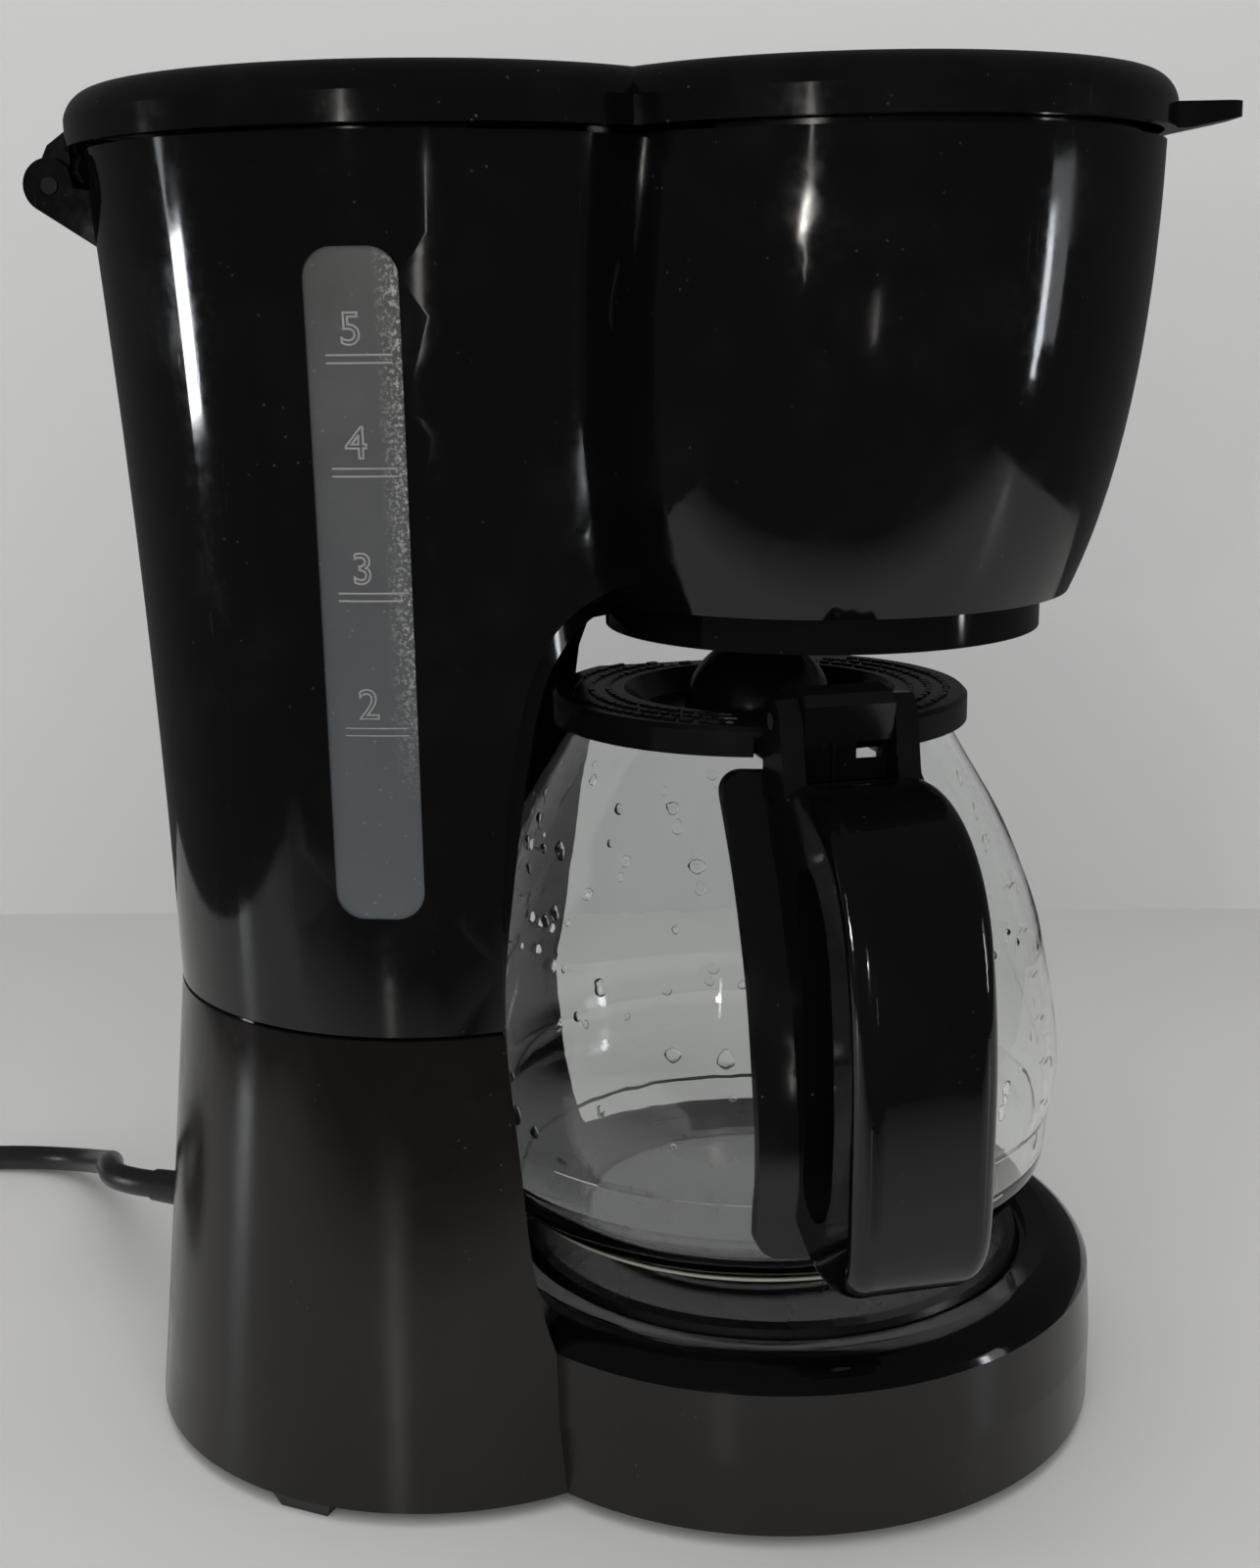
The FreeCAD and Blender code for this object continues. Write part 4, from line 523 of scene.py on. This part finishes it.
def droplets():
    """Flattened beads of water left on the inside of the glass."""
    rng = random.Random(21)

    def build(bm):
        for _ in range(BEADS):
            z = rng.uniform(60, 136)
            angle = rng.uniform(0.35, 2 * math.pi - 0.35)
            size = rng.uniform(0.6, 1.5)
            radius = glass_radius(z) - BEAD_DEPTH
            centre = carafe_place(radius, angle, z)
            outward = (carafe_place(radius + 1, angle, z) - centre).normalized()
            side = Vector((-outward.y, outward.x, 0))
            made = bmesh.ops.create_icosphere(bm, subdivisions=2, radius=1.0)
            tall = size * rng.uniform(1.0, 1.6)
            for v in made["verts"]:
                local = v.co.copy()
                wide = size * (1.0 + 0.25 * math.sin(3 * local.z + angle * 9))
                v.co = centre + (side * local.x * wide + Vector((0, 0, 1)) * local.z * tall
                                 + outward * local.y * BEAD_THICK) * MM
    smooth(mesh_piece("water_beads", build, WATER, "carafe"))


HEEL_RADIUS, HEEL_Z = 49.85, 45.55
HEEL_LINE_RADIUS = 0.42
TICK_ROWS = ((math.radians(-77), 78.0), (math.radians(50), 70.0))    # angle, height of the lowest tick
TICKS, TICK_STEP = 6, 8.5


def heel_highlight_ring(bm):
    """A thin ring on the glass's heel, which carries a painted highlight."""
    steps, around = 144, 6
    rings = []
    for i in range(steps):
        angle = 2 * math.pi * i / steps
        ring = []
        for k in range(around):
            t = 2 * math.pi * k / around
            ring.append(bm.verts.new(carafe_place(HEEL_RADIUS + HEEL_LINE_RADIUS * math.cos(t), angle,
                                                  HEEL_Z + HEEL_LINE_RADIUS * math.sin(t))))
        rings.append(ring)
    for low, high in zip(rings, rings[1:] + rings[:1]):
        join_rings(bm, low, high)
    bmesh.ops.recalc_face_normals(bm, faces=bm.faces)


def scale_ticks(bm):
    """Raised ticks on the glass, every second one long."""
    for angle, low in TICK_ROWS:
        for i in range(TICKS):
            z = low + TICK_STEP * i
            radius = glass_radius(z)
            half = (3.2 if i % 2 else 1.8) / 2 / radius
            outline = ((-half, -0.24), (half, -0.05), (half, 0.33), (-half, 0.14))
            add_block(bm, [carafe_place(radius + out, angle + turn, z + up)
                           for out in (-0.25, 0.12) for turn, up in outline])
    bmesh.ops.recalc_face_normals(bm, faces=bm.faces)


def painted_heel_highlight_and_ticks():
    """A painted highlight: a pale green ring where the thick glass turns under, standing in for its
    refraction glow, and the raised ticks of its scale in the same painted pale tone.
    """
    n = Nodes("glass_edge_painted_glow")
    n.bump(n.noise(90, 2), 0.00005, 0.3)
    # painted highlight: the pale green tone stands in for light carried through the thick glass's edge
    tone = n.mix(n.noise(40, 4), (0.30, 0.34, 0.27), (0.60, 0.64, 0.52))
    n.set(Base_Color=tone, Roughness=0.2, Transmission_Weight=0.35, IOR=1.47)
    smooth(mesh_piece("glass_heel_painted_highlight", heel_highlight_ring, n.material, "carafe"))
    mesh_piece("glass_scale_ticks", scale_ticks, n.material, "carafe")


BAY_SIDE = (  # height, liner radius, how far forward the far side of the bay reaches, mm
    (70.0, 47.6, 50.0), (78.0, 47.6, 47.4), (87.0, 47.6, 45.6), (96.0, 47.6, 44.3),
    (104.0, 47.7, 43.2), (116.0, 48.0, 42.0), (128.0, 48.0, 40.9), (143.0, 46.7, 40.4),
    (150.0, 45.9, 39.4), (156.0, 45.0, 37.2), (161.0, 44.2, 34.0), (164.5, 43.9, 31.0),
)


BAY_BACK = 51.0        # where the skin starts, behind the bay's edge, mm
BAY_STEPS = 8
BAY_SKIN_DEPTHS = (0.1, 1.7)    # the skin's two faces, inside the liner's radius, mm


def bay_side():
    """The far side of the bay, a curved skin that reaches a little further forward."""
    def build(bm):
        rows = []
        for z, radius, reach in BAY_SIDE:
            outer, inner = [], []
            for i in range(BAY_STEPS + 1):
                y = BAY_BACK + (reach - BAY_BACK) * i / BAY_STEPS
                for row, depth in zip((outer, inner), BAY_SKIN_DEPTHS):
                    x = math.sqrt((radius - depth) ** 2 - (y - TANK_Y) ** 2)
                    row.append(bm.verts.new(at(x, y, z)))
            rows.append(outer + inner[::-1])
        for low, high in zip(rows, rows[1:]):
            join_rings(bm, low, high)
        bm.faces.new(rows[0][::-1])
        bm.faces.new(rows[-1])
        bmesh.ops.recalc_face_normals(bm, faces=bm.faces)
    return mesh_piece("bay_far_side", build, MATERIALS["black_body"], "machine")


def water():
    n = Nodes("water")
    n.bump(n.noise(200, 1), 0.00003, 0.2)
    return n.set(Base_Color=(0.98, 0.99, 0.99), Roughness=0.02, IOR=1.33,
                 Transmission_Weight=1.0).material


WATER = water()


# ------------------------------------------------------------------ power cord
CORD_WIDTH = 6.0
LYING = CORD_WIDTH / 2
COIL = (60.0, 246.0)
COIL_RADIUS = 39.0
COIL_TURNS = 2
TURN_POINTS = 16
CLIMB_POINTS = 8


def coil_place(radius, angle, z):
    return COIL[0] + radius * math.cos(angle), COIL[1] + radius * math.sin(angle), z


def cord_route():
    """The route's points, then the coil's turns and the climb to the plug, in mm."""
    points = [(22.35, 134.46, 31.5), (25.65, 144.28, 31.2), (40.0, 150.5, 28.2), (58.0, 155.0, 21.0),
              (77.0, 161.5, 12.5), (97.0, 174.5, 4.4), (102.5, 194.0, LYING), (100.0, 220.0, LYING)]
    for i in range(COIL_TURNS * TURN_POINTS + 1):
        turn = i / TURN_POINTS
        points.append(coil_place(COIL_RADIUS - CORD_WIDTH * turn, 2 * math.pi * turn, LYING))
    inner = COIL_RADIUS - CORD_WIDTH * COIL_TURNS
    for i in range(1, CLIMB_POINTS + 1):
        share = i / CLIMB_POINTS
        radius = inner + CORD_WIDTH * min(1.0, max(0.0, share * 1.5 - 0.5))
        height = LYING + 6.6 * min(1.0, share * 2.2) + 2.6 * max(0.0, share * 2 - 1)
        points.append(coil_place(radius, math.pi * share, height))
    return points


def power_cord():
    curve = bpy.data.curves.new("power_cord", "CURVE")
    curve.dimensions = "3D"
    curve.bevel_depth = CORD_WIDTH / 2 * MM
    curve.bevel_resolution = 6
    curve.resolution_u = 10
    curve.use_fill_caps = True
    spline = curve.splines.new("NURBS")
    route = [at(*p) for p in cord_route()]
    spline.points.add(len(route) - 1)
    for point, place in zip(spline.points, route):
        point.co = (*place, 1.0)
    spline.order_u = 3
    spline.use_endpoint_u = True
    cord = bpy.data.objects.new("power_cord", curve)
    bpy.context.scene.collection.objects.link(cord)
    curve.materials.append(MATERIALS["cord_cover"])
    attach(cord, "machine")
    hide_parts("cord", "cord_coil")


# ------------------------------------------------------------------ stage
def stage_plane(name, corners, material):
    mesh = bpy.data.meshes.new(name)
    mesh.from_pydata([at(*c) for c in corners], [], [(0, 1, 2, 3)])
    plane = bpy.data.objects.new(name, mesh)
    bpy.context.scene.collection.objects.link(plane)
    mesh.materials.append(material)
    return plane


def table_finish(name, fades):
    """Pale table top; where it fades, the part near the camera is dark."""
    n = Nodes(name)
    tone = n.mix(n.noise(3.0, 3), (0.545, 0.540, 0.527), (0.585, 0.580, 0.570))
    if fades:
        split = n.add("ShaderNodeSeparateXYZ")
        n.link(n.place, split.inputs["Vector"])
        fade = n.remap(split.outputs["X"], at(-300, 0, 0).x, at(-195, 0, 0).x, 0.88, 0.0)
        tone = n.mix(fade, tone, (0.03, 0.03, 0.03))
    n.bump(n.noise(400, 2), 0.00004, 0.3)
    return n.set(Base_Color=tone, Roughness=0.28, IOR=1.45).material


def wall_finish():
    """A wall seen only from its front, so that it never hides the machine from behind."""
    n = Nodes("wall")
    tone = n.mix(n.noise(2.0, 3), (0.555, 0.555, 0.547), (0.600, 0.600, 0.594))
    n.set(Base_Color=tone, Roughness=0.9)
    clear = n.add("ShaderNodeBsdfTransparent")
    behind = n.add("ShaderNodeNewGeometry").outputs["Backfacing"]
    pick = n.add("ShaderNodeMixShader")
    n.link(behind, pick.inputs["Fac"])
    n.link(n.shader.outputs["BSDF"], pick.inputs[1])
    n.link(clear.outputs["BSDF"], pick.inputs[2])
    output = n.tree.nodes["Material Output"]
    n.link(pick.outputs["Shader"], output.inputs["Surface"])
    return n.material


def set_stage():
    """A pale floor and wall. The polished plastic mirrors only a fading patch of table round the machine."""
    left, right, near, wall_x = 430, -520, -305, 330
    wide, deep, above = 4000, 5000, 0.02
    floor = stage_plane("floor", [(-deep, -wide, 0), (deep, -wide, 0), (deep, wide, 0), (-deep, wide, 0)],
                        table_finish("floor", False))
    floor.visible_glossy = False
    patch = stage_plane("mirrored_table", [(near, right, above), (wall_x, right, above),
                                           (wall_x, left, above), (near, left, above)],
                        table_finish("mirrored_table", True))
    patch.visible_camera = patch.visible_diffuse = patch.visible_transmission = False
    patch.visible_shadow = False
    wall = stage_plane("wall", [(wall_x, wide, 0), (wall_x, -wide, 0), (wall_x, -wide, 3000),
                                (wall_x, wide, 3000)], wall_finish())
    wall.visible_glossy = False


def area_light(name, place, target, size, power, tint=(1, 1, 1)):
    data = bpy.data.lights.new(name, "AREA")
    data.shape = "RECTANGLE"
    data.size, data.size_y = size
    data.energy = power
    data.color = tint
    lamp = bpy.data.objects.new(name, data)
    bpy.context.scene.collection.objects.link(lamp)
    here, there = at(*place), at(*target)
    lamp.rotation_mode = "QUATERNION"
    lamp.rotation_quaternion = (there - here).to_track_quat("-Z", "Y")
    lamp.location = here
    return lamp


def set_lights():
    world = bpy.data.worlds.new("room")
    world.use_nodes = True
    world.node_tree.nodes["Background"].inputs["Color"].default_value = (0.40, 0.40, 0.40, 1)
    world.node_tree.nodes["Background"].inputs["Strength"].default_value = 0.16
    bpy.context.scene.world = world
    over = area_light("overhead", (60, 60, 1300), (220, 20, 0), (1.3, 1.3), 11.8)
    wash = area_light("wall_wash", (-900, 60, 620), (330, 0, 20), (1.2, 1.2), 11.3)
    for soft in (over, wash):
        soft.visible_glossy = soft.visible_transmission = False
    cool, warm = (0.90, 0.95, 1.0), (1.0, 0.96, 0.90)
    area_light("window_left", (-150, 1100, 108), (-46, 100, 215), (0.11, 0.10), 1.5, cool)
    area_light("window_left_top", (-90, 1150, 230), (-46, 100, 232), (0.06, 0.16), 0.10, cool)
    area_light("window_right", (-215, -620, 150), (-48, -42, 215), (0.028, 0.16), 0.22, cool)
    area_light("window_right_glow", (-185, -640, 190), (-48, -42, 225), (0.11, 0.16), 0.10, cool)
    area_light("lamp_front", (-1005, 295, 290), (-56, -3, 234), (0.016, 0.20), 0.05, warm)
    area_light("lamp_star", (-1004, 303, 277), (-56, -3, 234), (0.026, 0.026), 0.5, warm)
    area_light("lamp_low", (-1004, -160, 100), (-56, 58, 232), (0.022, 0.07), 0.022, warm)


add_camera()
power_cord()
paint_cad()
gauge_marks()
lid_rings()
strap_web()
bay_side()
painted_heel_highlight_and_ticks()
droplets()
set_stage()
set_lights()
bpy.context.scene.view_settings.view_transform = "Standard"
